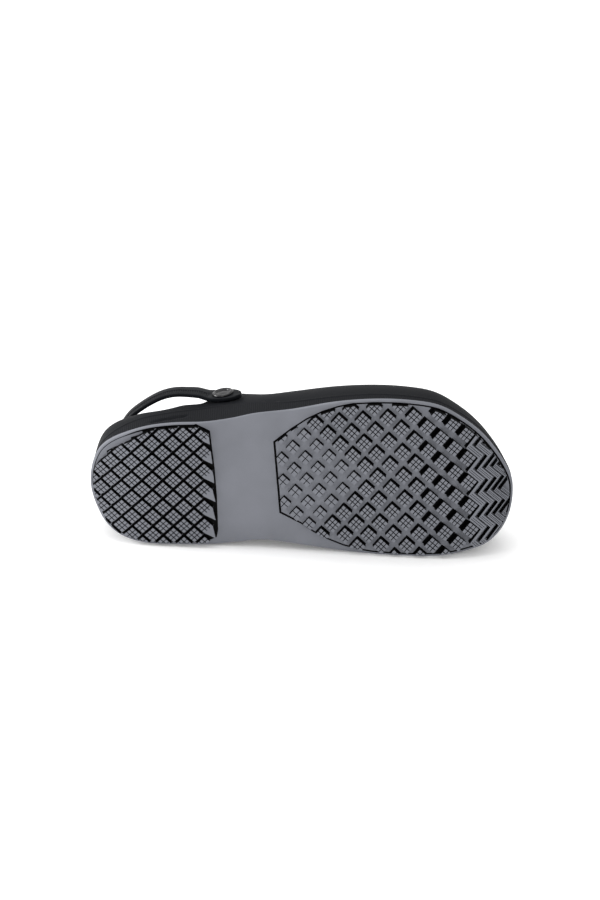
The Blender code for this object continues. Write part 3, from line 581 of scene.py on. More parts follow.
# Inset and height of the slab's edge: from its top, then from its underside
SLAB_TOP = ((0.5, 0.0), (0.15, -0.15), (0.0, -0.5))
SLAB_LOW = ((0.0, 1.1), (0.12, 0.6), (0.45, 0.2), (0.9, 0.0))
SLAB_SHARES = (0.04, 0.08, 0.13, 0.2, 0.27, 0.38, 0.5, 0.62, 0.73, 0.8, 0.87, 0.92, 0.96)
HEEL_RIM, BALL_RIM = 2.0, 2.6
HEEL_BORDER_END, BALL_BORDER_START = 74.0, 190.0
HEEL_CORNERS = (
    (75.0, -43.4),
    (83.4, -38.2),
    (85.0, -12.0),
    (85.4, 9.0),
    (84.8, 34.2),
    (83.6, 39.3),
    (75.4, 43.0),
)
HEEL_FIELD_END = max(x for x, _ in HEEL_CORNERS)
BALL_BACK = (
    (183.0, -53.3),
    (172.5, -51.7),
    (161.8, -48.6),
    (150.9, -43.8),
    (140.2, -37.1),
    (128.6, -28.2),
    (130.0, 23.1),
    (143.6, 31.8),
    (151.5, 38.2),
    (158.8, 43.1),
    (171.6, 49.4),
    (184.5, 53.6),
)
# Groove round a field of lugs: its depth, and its widths at the parts of the border
BORDER_DEPTH = 1.3
BALL_GROOVE, BALL_BACK_GROOVE, BALL_BACK_X = 1.1, 1.5, 131.0
HEEL_GROOVE, HEEL_BACK_GROOVE, HEEL_INNER_GROOVE = 1.0, 0.5, 0.25
HEEL_BACK_FADE, HEEL_FRONT_X = (24.0, 34.0), 80.0
HEEL_BORDER_STEPS, BALL_BORDER_STEPS, MITRE_LEAST = 30, 36, 0.6
# Plain strip inside the border at the back of the heel, kept light grey where the rest of the
# heel's
# floor is painted near black as shade: how wide, and where it fades out
HEEL_PLAIN, HEEL_PLAIN_FADE = 3.8, ((1.0, 9.0), (24.0, 46.0))
# Lugs whose centre lies no further out than this are there in part
HEEL_LUG_NEAR, BALL_LUG_NEAR = 5.6, 3.4
# Heel lugs: half diagonals, pitches of columns and rows, and the lattice's place and turn
HEEL_LUG_HALF = (5.6, 5.3)
HEEL_PITCH = (7.1, 13.5)
HEEL_LATTICE_AT, HEEL_LATTICE_TURN = (50.5, -12.4), math.radians(2.9)
HEEL_COLUMNS_BACK, HEEL_LAST_COLUMN, HEEL_ROWS = -8, 4, (-4, 8)
# Tail of a lug of the last column: its far and near corners from the lug's foot, and its height
LUG_TAIL, LUG_TAIL_ROOT, LUG_TAIL_Z = (7.6, 9.2), (2.6, 2.45), 0.02
# Low plinth of a heel lug, which shows as a light stripe beside it
PLINTH_SHIFT, PLINTH_RISE = Vector((0.62, 0.62)), 0.3
# Ball lugs: half diagonals, columns and rows with their pitches, and where they stand shallower
BALL_LUG_HALF, SHALLOW_LUG_HALF = (5.5, 5.8), (4.7, 5.0)
BALL_COLUMNS = 16
BALL_FIRST_X, BALL_REAR_PITCH, BALL_FRONT_PITCH, BALL_PITCH_CHANGE = 132.2, 8.12, 8.87, 8
BALL_ROW_PITCH = (16.2, 17.7)
BALL_ROWS = (-4, 4)
SHALLOW_REACH, SHALLOW_LUG = 183.0, 2.6
# Every lug: how deep it roots in the slab, how much wider its root is, small squares a side
LUG_ROOT, LUG_SPREAD, SQUARES, SHALLOW_SQUARES = 1.2, 1.06, 3, 2
TOE_LUG_EXTRA, TOE_LUG_FADE = 1.0, ((215.0, 245.0), (258.0, 275.0))
# Strips beside the upper right and the upper left side of a lug, cut a little into the slab and
# painted near black: the lug's painted shadow
SHADOW_STRIP_DEPTH, SHADOW_STRIP_CHANGE = 0.6, (214.0, 240.0)
BALL_SHADOW_STRIP, TOE_SHADOW_STRIP, SHALLOW_SHADOW_STRIP = (1.0, 0.5), (0.0, 2.3), (0.6, 0.1)
# Zigzag grooves before the toe, and the thin sipes between them
CHEVRON_GROOVES = (257.2, 263.9, 269.9, 275.2, 279.9, 284.2, 288.2, 292.0)
CHEVRON_AMPLITUDE, CHEVRON_GROOVE, CHEVRON_ENDS = 7.9, (2.7, 1.5), (-44.0, 62.0)
CHEVRON_SIPE, CHEVRON_SIPE_DEPTH, CHEVRON_SIPES = 0.17, 0.9, (0.33, 0.66)
SIPE_SHARE, SIPE_DEPTH_SHARE = 0.075, 0.25
# Cutters reach from below the tread to above the slab, or this far out of what they cut
BLOCK_LEVELS, SHADOW_STRIP_REACH, SLOT_REACH = (-9.0, 40.0), 1.0, 2.0
OUTSOLE_SHARP_ANGLE = 30.0
# Material numbers: the light grey rubber, then the near-black finish that is painted shade on
# walls, grooves, sipes and the floors between lugs.
FACE, PAINTED_SHADE = 0, 1


def sole_base(x, across):
    """Smooth underside: flat across, scooped at both edges of the waist."""
    near = 1 - min(abs(x - SCOOP_MIDDLE) / SCOOP_REACH, 1.0) ** 2
    return BASE_Z + lift(x) + ARCH_SCOOP * near * ramp(abs(across), SCOOP_START, 1.0)


def slab_levels(turn, side):
    x = x_of(turn)
    top, low = JOINT_Z - FIT_GAP + lift(x), sole_base(x, side if 0 < turn < 1 else 0)
    levels = [(inset, top + rise) for inset, rise in SLAB_TOP]
    return levels + [(inset, low + rise) for inset, rise in SLAB_LOW]


def slab_shape():
    shape = Shape()
    slab_turns = even_turns(SLAB_COLUMNS)
    rows = rim_rows(shape, slab_turns, slab_levels)
    shape.across(slab_turns, [row[0] for row in rows], (), None)
    low_ring = [row[-1] for row in rows]
    shape.across(slab_turns, low_ring, SLAB_SHARES, lambda p, a: sole_base(p.x, a))
    return shape


def lug_height(x):
    """Lugs stand taller just before the toe."""
    return BASE_Z + TOE_LUG_EXTRA * swell(x, *TOE_LUG_FADE)


def bent(place):
    """Place on a flat sole, moved to the sprung and bevelled one along its normal."""
    depth, slope = BASE_Z - place.z, lean(place.x)
    z = BASE_Z + lift(place.x) - depth * math.sqrt(1 - slope * slope)
    return Vector((place.x + depth * slope, place.y, z))


def foot_of(place, height):
    """Where on the sole the lug stands whose face is seen at this place."""
    return Vector((place.x - height * lean(place.x), place.y))


def prism(shape, corners, low, high, finish=PAINTED_SHADE, under_finish=PAINTED_SHADE):
    """Bent block over a polygon of the flat sole, between two heights."""
    under = [shape.add(bent(Vector((*corner, low)))) for corner in corners]
    over = [shape.add(bent(Vector((*corner, high)))) for corner in corners]
    shape.strip(under, over, closed=True, finish=finish)
    shape.face(under, under_finish)
    shape.face(over, finish)


def upright_block(corners, name, finishes):
    """Straight block through the sole, to cut with."""
    shape = Shape()
    rings = [[shape.add((*corner, z)) for corner in corners] for z in BLOCK_LEVELS]
    shape.strip(*rings, closed=True, finish=PAINTED_SHADE)
    for ring in rings:
        shape.face(ring, PAINTED_SHADE)
    return shape.made(name, finishes, UPRIGHT)


def inset_arc(start_x, end_x, side, inset, count):
    """Points of the outline from start_x to end_x, moved inwards."""
    turns = even_turns(count, turn_of(start_x), turn_of(end_x))
    return [edge(turn, side, inset) for turn in turns]


def heel_border(plain=0.0):
    """Border of the heel's field; plain moves it inwards along the plain strip."""
    outer = []
    for turn in even_turns(HEEL_BORDER_STEPS, turn_of(HEEL_BORDER_END), 0.0):
        inset = HEEL_RIM + plain * swell(x_of(turn), *HEEL_PLAIN_FADE)
        outer.append(edge(turn, LATERAL, inset))
    inner = inset_arc(0.0, HEEL_BORDER_END, MEDIAL, HEEL_RIM, HEEL_BORDER_STEPS)[1:]
    return outer + inner + [Vector(corner) for corner in HEEL_CORNERS[::-1]]


def ball_border():
    outer = inset_arc(BALL_BORDER_START, LENGTH, LATERAL, BALL_RIM, BALL_BORDER_STEPS)
    inner = inset_arc(LENGTH, BALL_BORDER_START, MEDIAL, BALL_RIM, BALL_BORDER_STEPS)[1:]
    return outer + inner + [Vector(corner) for corner in BALL_BACK[::-1]]


def heel_groove_width(point):
    if point.x > HEEL_FRONT_X:
        return HEEL_GROOVE
    if point.y > 0:
        return HEEL_INNER_GROOVE
    return blend(HEEL_BACK_GROOVE, HEEL_GROOVE, ramp(point.x, *HEEL_BACK_FADE))


def ball_groove_width(point):
    return BALL_BACK_GROOVE if point.x < BALL_BACK_X else BALL_GROOVE


def groove_shape(border, width):
    """Cutter for the groove round a field of lugs: it lies outside the border; its faces leave the
    groove painted near black, as painted shade.
    """
    shape, count = Shape(), len(border)
    area = sum(a.x * b.y - b.x * a.y for a, b in zip(border, border[1:] + border[:1]))
    sign = 1 if area > 0 else -1
    outer = []
    for i, point in enumerate(border):
        first = (point - border[i - 1]).normalized()
        second = (border[(i + 1) % count] - point).normalized()
        away = Vector((first.y + second.y, -first.x - second.x)).normalized() * sign
        spread = max(away.dot(Vector((first.y, -first.x)) * sign), MITRE_LEAST)
        outer.append(point + away * width(point) / spread)
    rails = []
    for line in (border, outer):
        rails.append([shape.add((*p, BLOCK_LEVELS[0])) for p in line])
    for line in (outer, border):
        rails.append([shape.add((*p, BASE_Z + lift(p.x) + BORDER_DEPTH)) for p in line])
    shape.skin(rails, looped=True, closed=True, finish=PAINTED_SHADE)
    return shape


def border_distance(point, border):
    """(how far a point is from the border, whether it lies inside)."""
    least, hit = math.inf, False
    for a, b in zip(border, border[1:] + border[:1]):
        along = b - a
        share = min(max((point - a).dot(along) / along.length_squared, 0.0), 1.0)
        least = min(least, (point - a - along * share).length)
        if (a.y > point.y) != (b.y > point.y):
            if point.x < a.x + (point.y - a.y) * along.x / along.y:
                hit = not hit
    return least, hit


def diamond(centre, half, upper_right=0.0, upper_left=0.0):
    """Corners of a lug, its upper right and upper left sides moved outwards."""
    a, b = half
    across = a * b / math.hypot(a, b)
    s, t = 1 + upper_right / across, 1 + upper_left / across
    corners = []
    for u, v in ((-1, -1), (s, -1), (s, t), (-1, t)):
        corners.append(centre + Vector((a * (u - v) / 2, -b * (u + v) / 2)))
    return corners


def heel_lugs(border):
    """Foot and last-column mark of each heel lug."""
    spin = Matrix.Rotation(HEEL_LATTICE_TURN, 2)
    for column in range(HEEL_COLUMNS_BACK, HEEL_LAST_COLUMN + 1):
        for row in range(*HEEL_ROWS):
            across = row + (0.5 if column % 2 else 0.0)
            step = Vector((column * HEEL_PITCH[0], across * HEEL_PITCH[1]))
            centre = Vector(HEEL_LATTICE_AT) + spin @ step
            away, inside = border_distance(centre, border)
            if inside or away < HEEL_LUG_NEAR:
                yield foot_of(centre, BASE_Z), column == HEEL_LAST_COLUMN


def ball_lugs(border):
    """Foot, half diagonals, height and shallow mark of each lug of the ball."""
    for column in range(BALL_COLUMNS):
        rear = min(column, BALL_PITCH_CHANGE)
        x = BALL_FIRST_X + rear * BALL_REAR_PITCH + (column - rear) * BALL_FRONT_PITCH
        pitch = blend(*BALL_ROW_PITCH, column / (BALL_COLUMNS - 1))
        for row in range(*BALL_ROWS):
            centre = Vector((x, (row + (0.5 if column % 2 else 0.0)) * pitch))
            away, inside = border_distance(centre, border)
            if not inside and away >= BALL_LUG_NEAR:
                continue
            if centre.x + abs(centre.y) < SHALLOW_REACH:
                yield foot_of(centre, SHALLOW_LUG), SHALLOW_LUG_HALF, SHALLOW_LUG, True
            else:
                height = lug_height(centre.x)
                yield foot_of(centre, height), BALL_LUG_HALF, height, False


def lug_block(count):
    """Lug of height 1 and half diagonals 1 with count by count small squares parted by sipes.

    Its root is on z = 0 and its top on z = -1, as the tread faces down.
    """
    side = math.sqrt(2)
    cuts = [-side / 2]
    for k in range(1, count):
        middle = -side / 2 + side / count * k
        cuts += [middle - SIPE_SHARE * side / 2, middle + SIPE_SHARE * side / 2]
    cuts.append(side / 2)
    levels = (0.0, -1 + SIPE_DEPTH_SHARE, -1.0)
    spreads = (LUG_SPREAD, 1 + (LUG_SPREAD - 1) * SIPE_DEPTH_SHARE, 1.0)
    spin = Matrix.Rotation(math.pi / 4, 2)
    bm, made = bmesh.new(), {}

    def corner(i, j, k):
        """Corner of the cells, made once."""
        if (i, j, k) not in made:
            flat = spin @ Vector((cuts[i], cuts[j])) * spreads[k]
            made[i, j, k] = bm.verts.new((*flat, levels[k]))
        return made[i, j, k]

    cells = range(len(cuts) - 1)
    solid = {(i, j, 0) for i in cells for j in cells}
    solid |= {(i, j, 1) for i in cells[::2] for j in cells[::2]}
    walls = (
        ((1, 0, 0), ((1, 0, 0), (1, 1, 0), (1, 1, 1), (1, 0, 1))),
        ((-1, 0, 0), ((0, 0, 0), (0, 0, 1), (0, 1, 1), (0, 1, 0))),
        ((0, 1, 0), ((0, 1, 0), (0, 1, 1), (1, 1, 1), (1, 1, 0))),
        ((0, -1, 0), ((0, 0, 0), (1, 0, 0), (1, 0, 1), (0, 0, 1))),
        ((0, 0, 1), ((0, 0, 1), (1, 0, 1), (1, 1, 1), (0, 1, 1))),
        ((0, 0, -1), ((0, 0, 0), (0, 1, 0), (1, 1, 0), (1, 0, 0))),
    )
    tops = []
    for i, j, k in sorted(solid):
        for step, corners in walls:
            if (i + step[0], j + step[1], k + step[2]) not in solid:
                bm.faces.new([corner(i + a, j + b, k + c) for a, b, c in corners])
                tops.append(1.0 if step == (0, 0, 1) and k == 1 else 0.0)
    bmesh.ops.recalc_face_normals(bm, faces=bm.faces)
    mesh = bpy.data.meshes.new("lug_block")
    bm.to_mesh(mesh)
    bm.free()
    mesh.attributes.new("top", "FLOAT", "FACE").data.foreach_set("value", tops)
    return placed("lug_block", mesh)


def block_tree():
    """Sets a block on each point, sized and turned by the point's own values."""
    tree = bpy.data.node_groups.new("blocks_on_points", "GeometryNodeTree")
    tree.interface.new_socket("Geometry", in_out="OUTPUT", socket_type="NodeSocketGeometry")
    sockets = {"Geometry": "Geometry", "Block": "Object", "Sides": "Material", "Face": "Material"}
    for key, kind in sockets.items():
        tree.interface.new_socket(key, in_out="INPUT", socket_type="NodeSocket" + kind)
    group = add_node(tree, "NodeGroupInput").outputs
    block = add_node(tree, "GeometryNodeObjectInfo", {"Object": group["Block"]})
    values = {}
    for key, kind in (("size", "FLOAT_VECTOR"), ("turn", "FLOAT_VECTOR"), ("top", "FLOAT")):
        value = add_node(tree, "GeometryNodeInputNamedAttribute", {"Name": key}, data_type=kind)
        values[key] = value.outputs["Attribute"]
    sockets = {"Points": group["Geometry"], "Instance": block.outputs["Geometry"]}
    sockets |= {"Scale": values["size"], "Rotation": values["turn"]}
    set_out = add_node(tree, "GeometryNodeInstanceOnPoints", sockets)
    real = add_node(tree, "GeometryNodeRealizeInstances", {"Geometry": set_out.outputs[0]})
    # Every face takes the Sides finish and the tops then the Face finish; on lugs the Sides finish
    # is near-black painted shade on walls and sipe floors.
    sockets = {"Geometry": real.outputs[0], "Material": group["Sides"]}
    sides = add_node(tree, "GeometryNodeSetMaterial", sockets)
    sockets = {"Geometry": sides.outputs[0], "Selection": values["top"]}
    face = add_node(tree, "GeometryNodeSetMaterial", {**sockets, "Material": group["Face"]})
    add_node(tree, "NodeGroupOutput", {"Geometry": face.outputs[0]})
    return tree


def flattened(obj, name):
    """New object at the origin that holds the evaluated mesh; the old one is removed."""
    graph = bpy.context.evaluated_depsgraph_get()
    mesh = bpy.data.meshes.new_from_object(obj.evaluated_get(graph))
    mesh.name = name
    bpy.data.objects.remove(obj)
    return placed(name, mesh)


def repeated(name, rows, block, tree, sides, face):
    """Mesh object of a block set out on rows of place, size and turn; the block is removed."""
    mesh = bpy.data.meshes.new(name)
    mesh.from_pydata([tuple(place) for place, _, _ in rows], [], [])
    for key, column in (("size", 1), ("turn", 2)):
        layer = mesh.attributes.new(key, "FLOAT_VECTOR", "POINT").data
        for item, row in zip(layer, rows):
            item.vector = tuple(row[column])
    points = placed(name, mesh)
    modifier = points.modifiers.new(tree.name, "NODES")
    modifier.node_group = tree
    values = {"Block": block, "Sides": sides, "Face": face}
    for item in tree.interface.items_tree:
        if item.in_out == "INPUT" and item.name in values:
            modifier[item.identifier] = values[item.name]
    made = flattened(points, name)
    bpy.data.objects.remove(block)
    return made


def lugs_on(name, lugs, count, tree, finishes):
    """Lugs of one kind on their feet, bent with the sole."""
    root = BASE_Z + LUG_ROOT
    rows = []
    for foot, half, height, turn in lugs:
        rows.append(((*foot, root), (*half, height + LUG_ROOT), (0.0, 0.0, turn)))
    made = repeated(name, rows, lug_block(count), tree, finishes[PAINTED_SHADE], finishes[FACE])
    for vertex in made.data.vertices:
        vertex.co = bent(vertex.co)
    return made


def chevron_line(start, side):
    """Zigzag along one side of a groove, its vertices half a row apart."""
    half = BALL_ROW_PITCH[1] / 2
    first, last = math.floor(CHEVRON_ENDS[0] / half), math.ceil(CHEVRON_ENDS[1] / half)
    tips = range(first, last + 1)
    shift = Vector(CHEVRON_GROOVE) * side / 2 + Vector((start, 0.0))
    return [shift + Vector((CHEVRON_AMPLITUDE * (k % 2), k * half)) for k in tips]


def lug_point(place, depth):
    """Point of a lug at a depth below the underside; its face is seen at this place."""
    return bent(Vector((*foot_of(place, lug_height(place.x)), BASE_Z - depth)))


def chevron_shadow_strips(shape):
    """Painted shadow: the floor of the grooves along the legs that rise to the right, cut a little
    deeper and painted near black.
    """
    for start in CHEVRON_GROOVES:
        back, front = chevron_line(start, -1), chevron_line(start, 1)
        for k, (a, b) in enumerate(zip(back, back[1:])):
            if a.x > b.x:
                corners = [foot_of(p, lug_height(p.x)) for p in (a, b, front[k + 1], front[k])]
                prism(shape, corners, BASE_Z - SHADOW_STRIP_REACH, BASE_Z + SHADOW_STRIP_DEPTH)


def chevron_shapes():
    """Zigzag ridges before the toe, and thin slots along the legs that fall to the right."""
    ridges, slots = Shape(), Shape()
    for begin, end in zip(CHEVRON_GROOVES, CHEVRON_GROOVES[1:]):
        back, front = chevron_line(begin, 1), chevron_line(end, -1)
        rails = []
        for line, is_face in ((back, True), (front, True), (front, False), (back, False)):
            depths = [lug_height(p.x) if is_face else -LUG_ROOT for p in line]
            rails.append([ridges.add(lug_point(p, depth)) for p, depth in zip(line, depths)])
        for number, (first, second) in enumerate(zip(rails, rails[1:] + rails[:1])):
            ridges.strip(first, second, finish=PAINTED_SHADE if number else FACE)
        for rail_end in (0, -1):
            ridges.face([rail[rail_end] for rail in rails], PAINTED_SHADE)
        for share in CHEVRON_SIPES:
            line = [a.lerp(b, share) for a, b in zip(back, front)]
            for a, b in zip(line, line[1:]):
                if a.x > b.x:
                    continue
                across = Vector((a.y - b.y, b.x - a.x)).normalized() * CHEVRON_SIPE
                rings = []
                for rise in (-CHEVRON_SIPE_DEPTH, SLOT_REACH):
                    corners = (a - across, b - across, b + across, a + across)
                    ring = [lug_point(p, lug_height(p.x) + rise) for p in corners]
                    rings.append([slots.add(point) for point in ring])
                slots.strip(*rings, closed=True, finish=PAINTED_SHADE)
                for ring in rings:
                    slots.face(ring, PAINTED_SHADE)
    return ridges, slots


def cut(obj, cutter, operation):
    modifier = obj.modifiers.new(operation.lower(), "BOOLEAN")
    modifier.operation = operation
    modifier.object = cutter
    modifier.solver = "EXACT"


def trimmed(fields, border, finishes):
    """The fields, cut off at a border."""
    limit = upright_block(border, "limit", finishes)
    for field in fields:
        cut(field, limit, "INTERSECT")
    fields = [flattened(field, field.name + "_cut") for field in fields]
    bpy.data.objects.remove(limit)
    return fields


def joined(name, parts, finishes, sharp_angle):
    """One mesh of several, laid down, with the finishes as materials; the parts are removed."""
    bm = bmesh.new()
    for part in parts:
        used = [finishes.index(made) if made in finishes else PAINTED_SHADE for made in part.data.materials]
        start = len(bm.faces)
        bm.from_mesh(part.data)
        bm.faces.ensure_lookup_table()
        for face in bm.faces[start:]:
            face.material_index = used[face.material_index] if used else FACE
        bpy.data.objects.remove(part)
    bm.transform(LYING)
    return meshed(bm, name, finishes, sharp_angle)


def blasted_rubber():
    """Rubber from a blasted mould face: light grey bloom, fine pitting of about 0.4 mm."""
    sockets = {"Specular_IOR_Level": 0.25, "Roughness": 0.68}
    made = Finish("blasted_rubber", ("#65676d", "#777980"), scale=38.0, detail=5.0, **sockets)
    made.raised(made.noise(scale=2300.0, detail=2.0), distance=0.05, strength=0.6)
    return made.material


def polished_rubber():
    """Near black laid on the grey rubber where shade falls: walls of lugs, grooves and sipes,
    floors between heel lugs and strips beside lugs; painted shade and painted shadow, with a faint
    sheen.
    """
    sockets = {"Specular_IOR_Level": 0.05, "Roughness": 0.55}
    return Finish("polished_rubber", ("#030303", "#070708"), scale=90.0, **sockets).material


rubber = [blasted_rubber(), polished_rubber()]
blocks = block_tree()
slab = slab_shape().made("slab", rubber, UPRIGHT)

heel_line, heel_floor = heel_border(), heel_border(HEEL_PLAIN)
lugs, plinths, tails = [], Shape(), Shape()
spin = Matrix.Rotation(HEEL_LATTICE_TURN, 2)
for foot, is_last in heel_lugs(heel_line):
    lugs.append((foot, HEEL_LUG_HALF, BASE_Z, HEEL_LATTICE_TURN))
    plinth = [foot + spin @ (p - foot + PLINTH_SHIFT) for p in diamond(foot, HEEL_LUG_HALF)]
    prism(plinths, plinth, BASE_Z - PLINTH_RISE, BASE_Z + LUG_ROOT, PAINTED_SHADE, FACE)
    if is_last:
        tail = ((HEEL_LUG_HALF[0], 0.0), LUG_TAIL, (0.0, HEEL_LUG_HALF[1]), LUG_TAIL_ROOT)
        tail = [foot + spin @ Vector(corner) for corner in tail]
        prism(tails, tail, LUG_TAIL_Z, BASE_Z + LUG_ROOT, PAINTED_SHADE, FACE)
fields = [lugs_on("heel_lugs", lugs, SQUARES, blocks, rubber)]
fields.append(plinths.made("heel_plinths", rubber, UPRIGHT))
fields.append(tails.made("heel_tails", rubber, UPRIGHT))
fields = trimmed(fields, heel_floor, rubber)

ball_line = ball_border()
lugs, shallow_lugs, moats, toe_shadow_strips = [], [], Shape(), Shape()
for foot, half, height, is_shallow in ball_lugs(ball_line):
    (shallow_lugs if is_shallow else lugs).append((foot, half, height, 0.0))
    # Painted shadow: a strip cut a little into the slab beside each lug's upper sides, left near
    # black.
    forward = ramp(foot.x, *SHADOW_STRIP_CHANGE)
    widths = [blend(a, b, forward) for a, b in zip(BALL_SHADOW_STRIP, TOE_SHADOW_STRIP)]
    corners = diamond(foot, half, *(SHALLOW_SHADOW_STRIP if is_shallow else widths))
    prism(moats, corners, BASE_Z - SHADOW_STRIP_REACH, BASE_Z + SHADOW_STRIP_DEPTH)
chevron_shadow_strips(toe_shadow_strips)
ridges, slots = (shape.made("chevrons", rubber, UPRIGHT) for shape in chevron_shapes())
cut(ridges, slots, "DIFFERENCE")
fields += trimmed(
    [
        lugs_on("ball_lugs", lugs, SQUARES, blocks, rubber),
        lugs_on("shallow_lugs", shallow_lugs, SHALLOW_SQUARES, blocks, rubber),
        ridges,
    ],
    ball_line,
    rubber,
)
cutters = []
for border, width in ((heel_line, heel_groove_width), (ball_line, ball_groove_width)):
    cutters.append(groove_shape(border, width).made("groove", rubber, UPRIGHT))
shadow_strip_blocks = [shape.made("moats", rubber, UPRIGHT) for shape in (moats, toe_shadow_strips)]
cutters += trimmed(shadow_strip_blocks, ball_line, rubber)
for cutter in cutters:
    cut(slab, cutter, "DIFFERENCE")
slab = flattened(slab, "slab_cut")
for helper in cutters + [slots]:
    bpy.data.objects.remove(helper)
# Painted shade: every downward face of the floor within the heel's field takes the near-black
# finish.
for polygon in slab.data.polygons:
    middle = Vector(polygon.center[:2])
    if middle.x < HEEL_FIELD_END and polygon.normal.z < 0:
        if border_distance(middle, heel_floor)[1]:
            polygon.material_index = PAINTED_SHADE
outsole = joined("outsole_rubber", [slab] + fields, rubber, OUTSOLE_SHARP_ANGLE)
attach(outsole, "root")
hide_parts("outsole")

# Insole. A thin removable pad of soft foam with a knitted cover, laid loose on the footbed and
# a little dished; it is thinner at its edge.
INSOLE_THICK, INSOLE_INSET, INSOLE_GAP = 4.0, 2.0, 0.6
INSOLE_COLUMNS = 61
# Inset and height of its edge, from below to the top
INSOLE_EDGE = ((0.5, 0.0), (0.1, 0.4), (0.0, 1.0), (0.1, 1.8), (0.5, 2.4), (1.1, 2.8))
KNIT_PITCH, KNIT_DEPTH = 1.3, 0.12


def knitted_cover():
    """Black knitted polyester: rows of stitches about 1.3 mm apart, matt with a little fuzz."""
    sockets = {"Roughness": 0.9, "Sheen_Weight": 0.25}
    cover = Finish("knitted_cover", ("#1c1c1f", "#2b2b2f"), scale=70.0, detail=4.0, **sockets)
    sockets = {"Vector": cover.place, "Scale": 1 / (KNIT_PITCH * MM), "Randomness": 0.25}
    knit = cover.node("TexVoronoi", sockets).outputs["Distance"]
    cover.raised(knit, distance=KNIT_DEPTH, strength=1.0)
    return cover.material


def insole_levels(turn, _):
    base_inset = STEP_INSET + WALL + FOOTBED_FILLET + INSOLE_INSET
    low = footbed_height(x_of(turn), 1.0) + INSOLE_GAP
    return [(base_inset + inset, low + rise) for inset, rise in INSOLE_EDGE]


def under_insole(place, across):
    return footbed_height(place.x, across) + INSOLE_GAP


def over_insole(place, across):
    return under_insole(place, across) + INSOLE_THICK


pad = Shape()
pad_turns = even_turns(INSOLE_COLUMNS)
pad_rows = rim_rows(pad, pad_turns, insole_levels)
pad.across(pad_turns, [row[0] for row in pad_rows], FOOTBED_SHARES, under_insole)
pad.across(pad_turns, [row[-1] for row in pad_rows], FOOTBED_SHARES, over_insole)
insole = pad.made("insole_pad", [knitted_cover()])
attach(insole, "root")
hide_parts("insole")

# Heel strap. A bar of firmer satin foam, round at both ends, moulded with a plain upper zone and
# a finely ribbed one below it. It hangs on a rivet at each side and swings over the vamp.
STRAP_OUTER = (
    (93.4, -46.4, 54.6, 18.2),
    (85.6, -46.9, 56.5, 17.4),
    (80.5, -47.5, 57.8, 16.4),
    (75.4, -47.7, 58.8, 15.6),
    (68.6, -48.1, 59.7, 14.6),
    (61.7, -48.5, 59.9, 14.0),
    (54.8, -47.9, 59.7, 13.6),
    (48.0, -46.0, 59.4, 13.4),
    (41.0, -42.8, 58.9, 13.2),
    (35.0, -39.3, 58.5, 13.0),
    (28.0, -34.4, 58.1, 12.8),
    (22.4, -28.0, 57.8, 12.6),
    (18.4, -19.5, 57.4, 12.4),
    (16.2, -10.5, 57.0, 12.3),
    (15.6, -2.0, 57.0, 12.2),
)
STRAP_MIDDLE = STRAP_OUTER[-1][1]
MEDIAL_STRAP_SCALE = 0.95
STRAP_STEPS = 6
PAD_BLEND = {LATERAL: (0.5, 3.2), MEDIAL: (1.0, 3.6)}
STRAP_THICK = 2.8
PAD_LIFT = {LATERAL: 0.8, MEDIAL: 0.0}
PAD_REACH, PAD_TIP = 12.8, 1.6
PAD_ANGLES = (88, 82, 74, 66, 58, 50, 42, 34, 26, 18, 9)
PIVOT_X, PIVOT_Z = STRAP_OUTER[0][0], STRAP_OUTER[0][2]
# Section: depth, share of the half width, and inset from there; True where the band is recessed
STRAP_SECTION = (
    (-0.9, 1.0, 0.0, False),
    (-0.3, 1.0, 0.12, False),
    (0.0, 1.0, 0.6, False),
    (0.12, 0.5, 0.0, False),
    (0.06, 0.1, 0.0, False),
    (0.0, 0.03, 0.0, True),
    (0.0, -0.66, 0.0, True),
    (0.0, -0.73, 0.0, False),
    (0.0, -0.93, 0.0, False),
    (-0.3, -1.0, 0.1, False),
    (-0.9, -1.0, 0.0, False),
    (-2.2, -1.0, 0.0, False),
    (-2.65, -1.0, 0.3, False),
    (-2.8, -1.0, 0.9, False),
    (-2.8, 1.0, 0.9, False),
    (-2.65, 1.0, 0.3, False),
    (-2.2, 1.0, 0.0, False),
)
BAND_RECESS, RECESS_FADE = 0.5, (1.1, 1.7)
STRAP_RIB_PITCH, STRAP_RIB_WIDTH, STRAP_RIB_RISE = 1.6, 0.8, 0.5
STRAP_RIB_MIDDLE, STRAP_RIB_REACH = -0.315, 0.33
STRAP_RIB_SIDES, STRAP_RIB_ROOT = 7, -0.6
# No inset of the section is more than this share of its half width; ribs stand where the band's
# recess is this full; widest smooth angle; halvings in the search for a point of the wall
INSET_MOST, RIBS_FROM, STRAP_SHARP_ANGLE, HALVINGS = 0.6, 0.95, 40.0, 40


def wall_point(x, z, side):
    """Point of the outer wall at x and z."""
    low, high = 0.0, 1.0
    for _ in range(HALVINGS):
        turn = (low + high) / 2
        column = Column(turn, side)
        point = column.arch(column.angle_at(z))
        low, high = (turn, high) if point.x < x else (low, turn)
    return point


def pad_frame(side):
    """Point of the wall under a pad of the strap, and the pad's outward normal."""
    here = wall_point(PIVOT_X, PIVOT_Z, side)
    along = wall_point(PIVOT_X + 1, PIVOT_Z, side) - wall_point(PIVOT_X - 1, PIVOT_Z, side)
    up = wall_point(PIVOT_X, PIVOT_Z + 1, side) - wall_point(PIVOT_X, PIVOT_Z - 1, side)
    out = along.cross(up).normalized()
    if out.y * side < 0:
        out = -out
    if side == LATERAL:
        out = Vector((out.x, out.y, 0.0)).normalized()
    return here, out


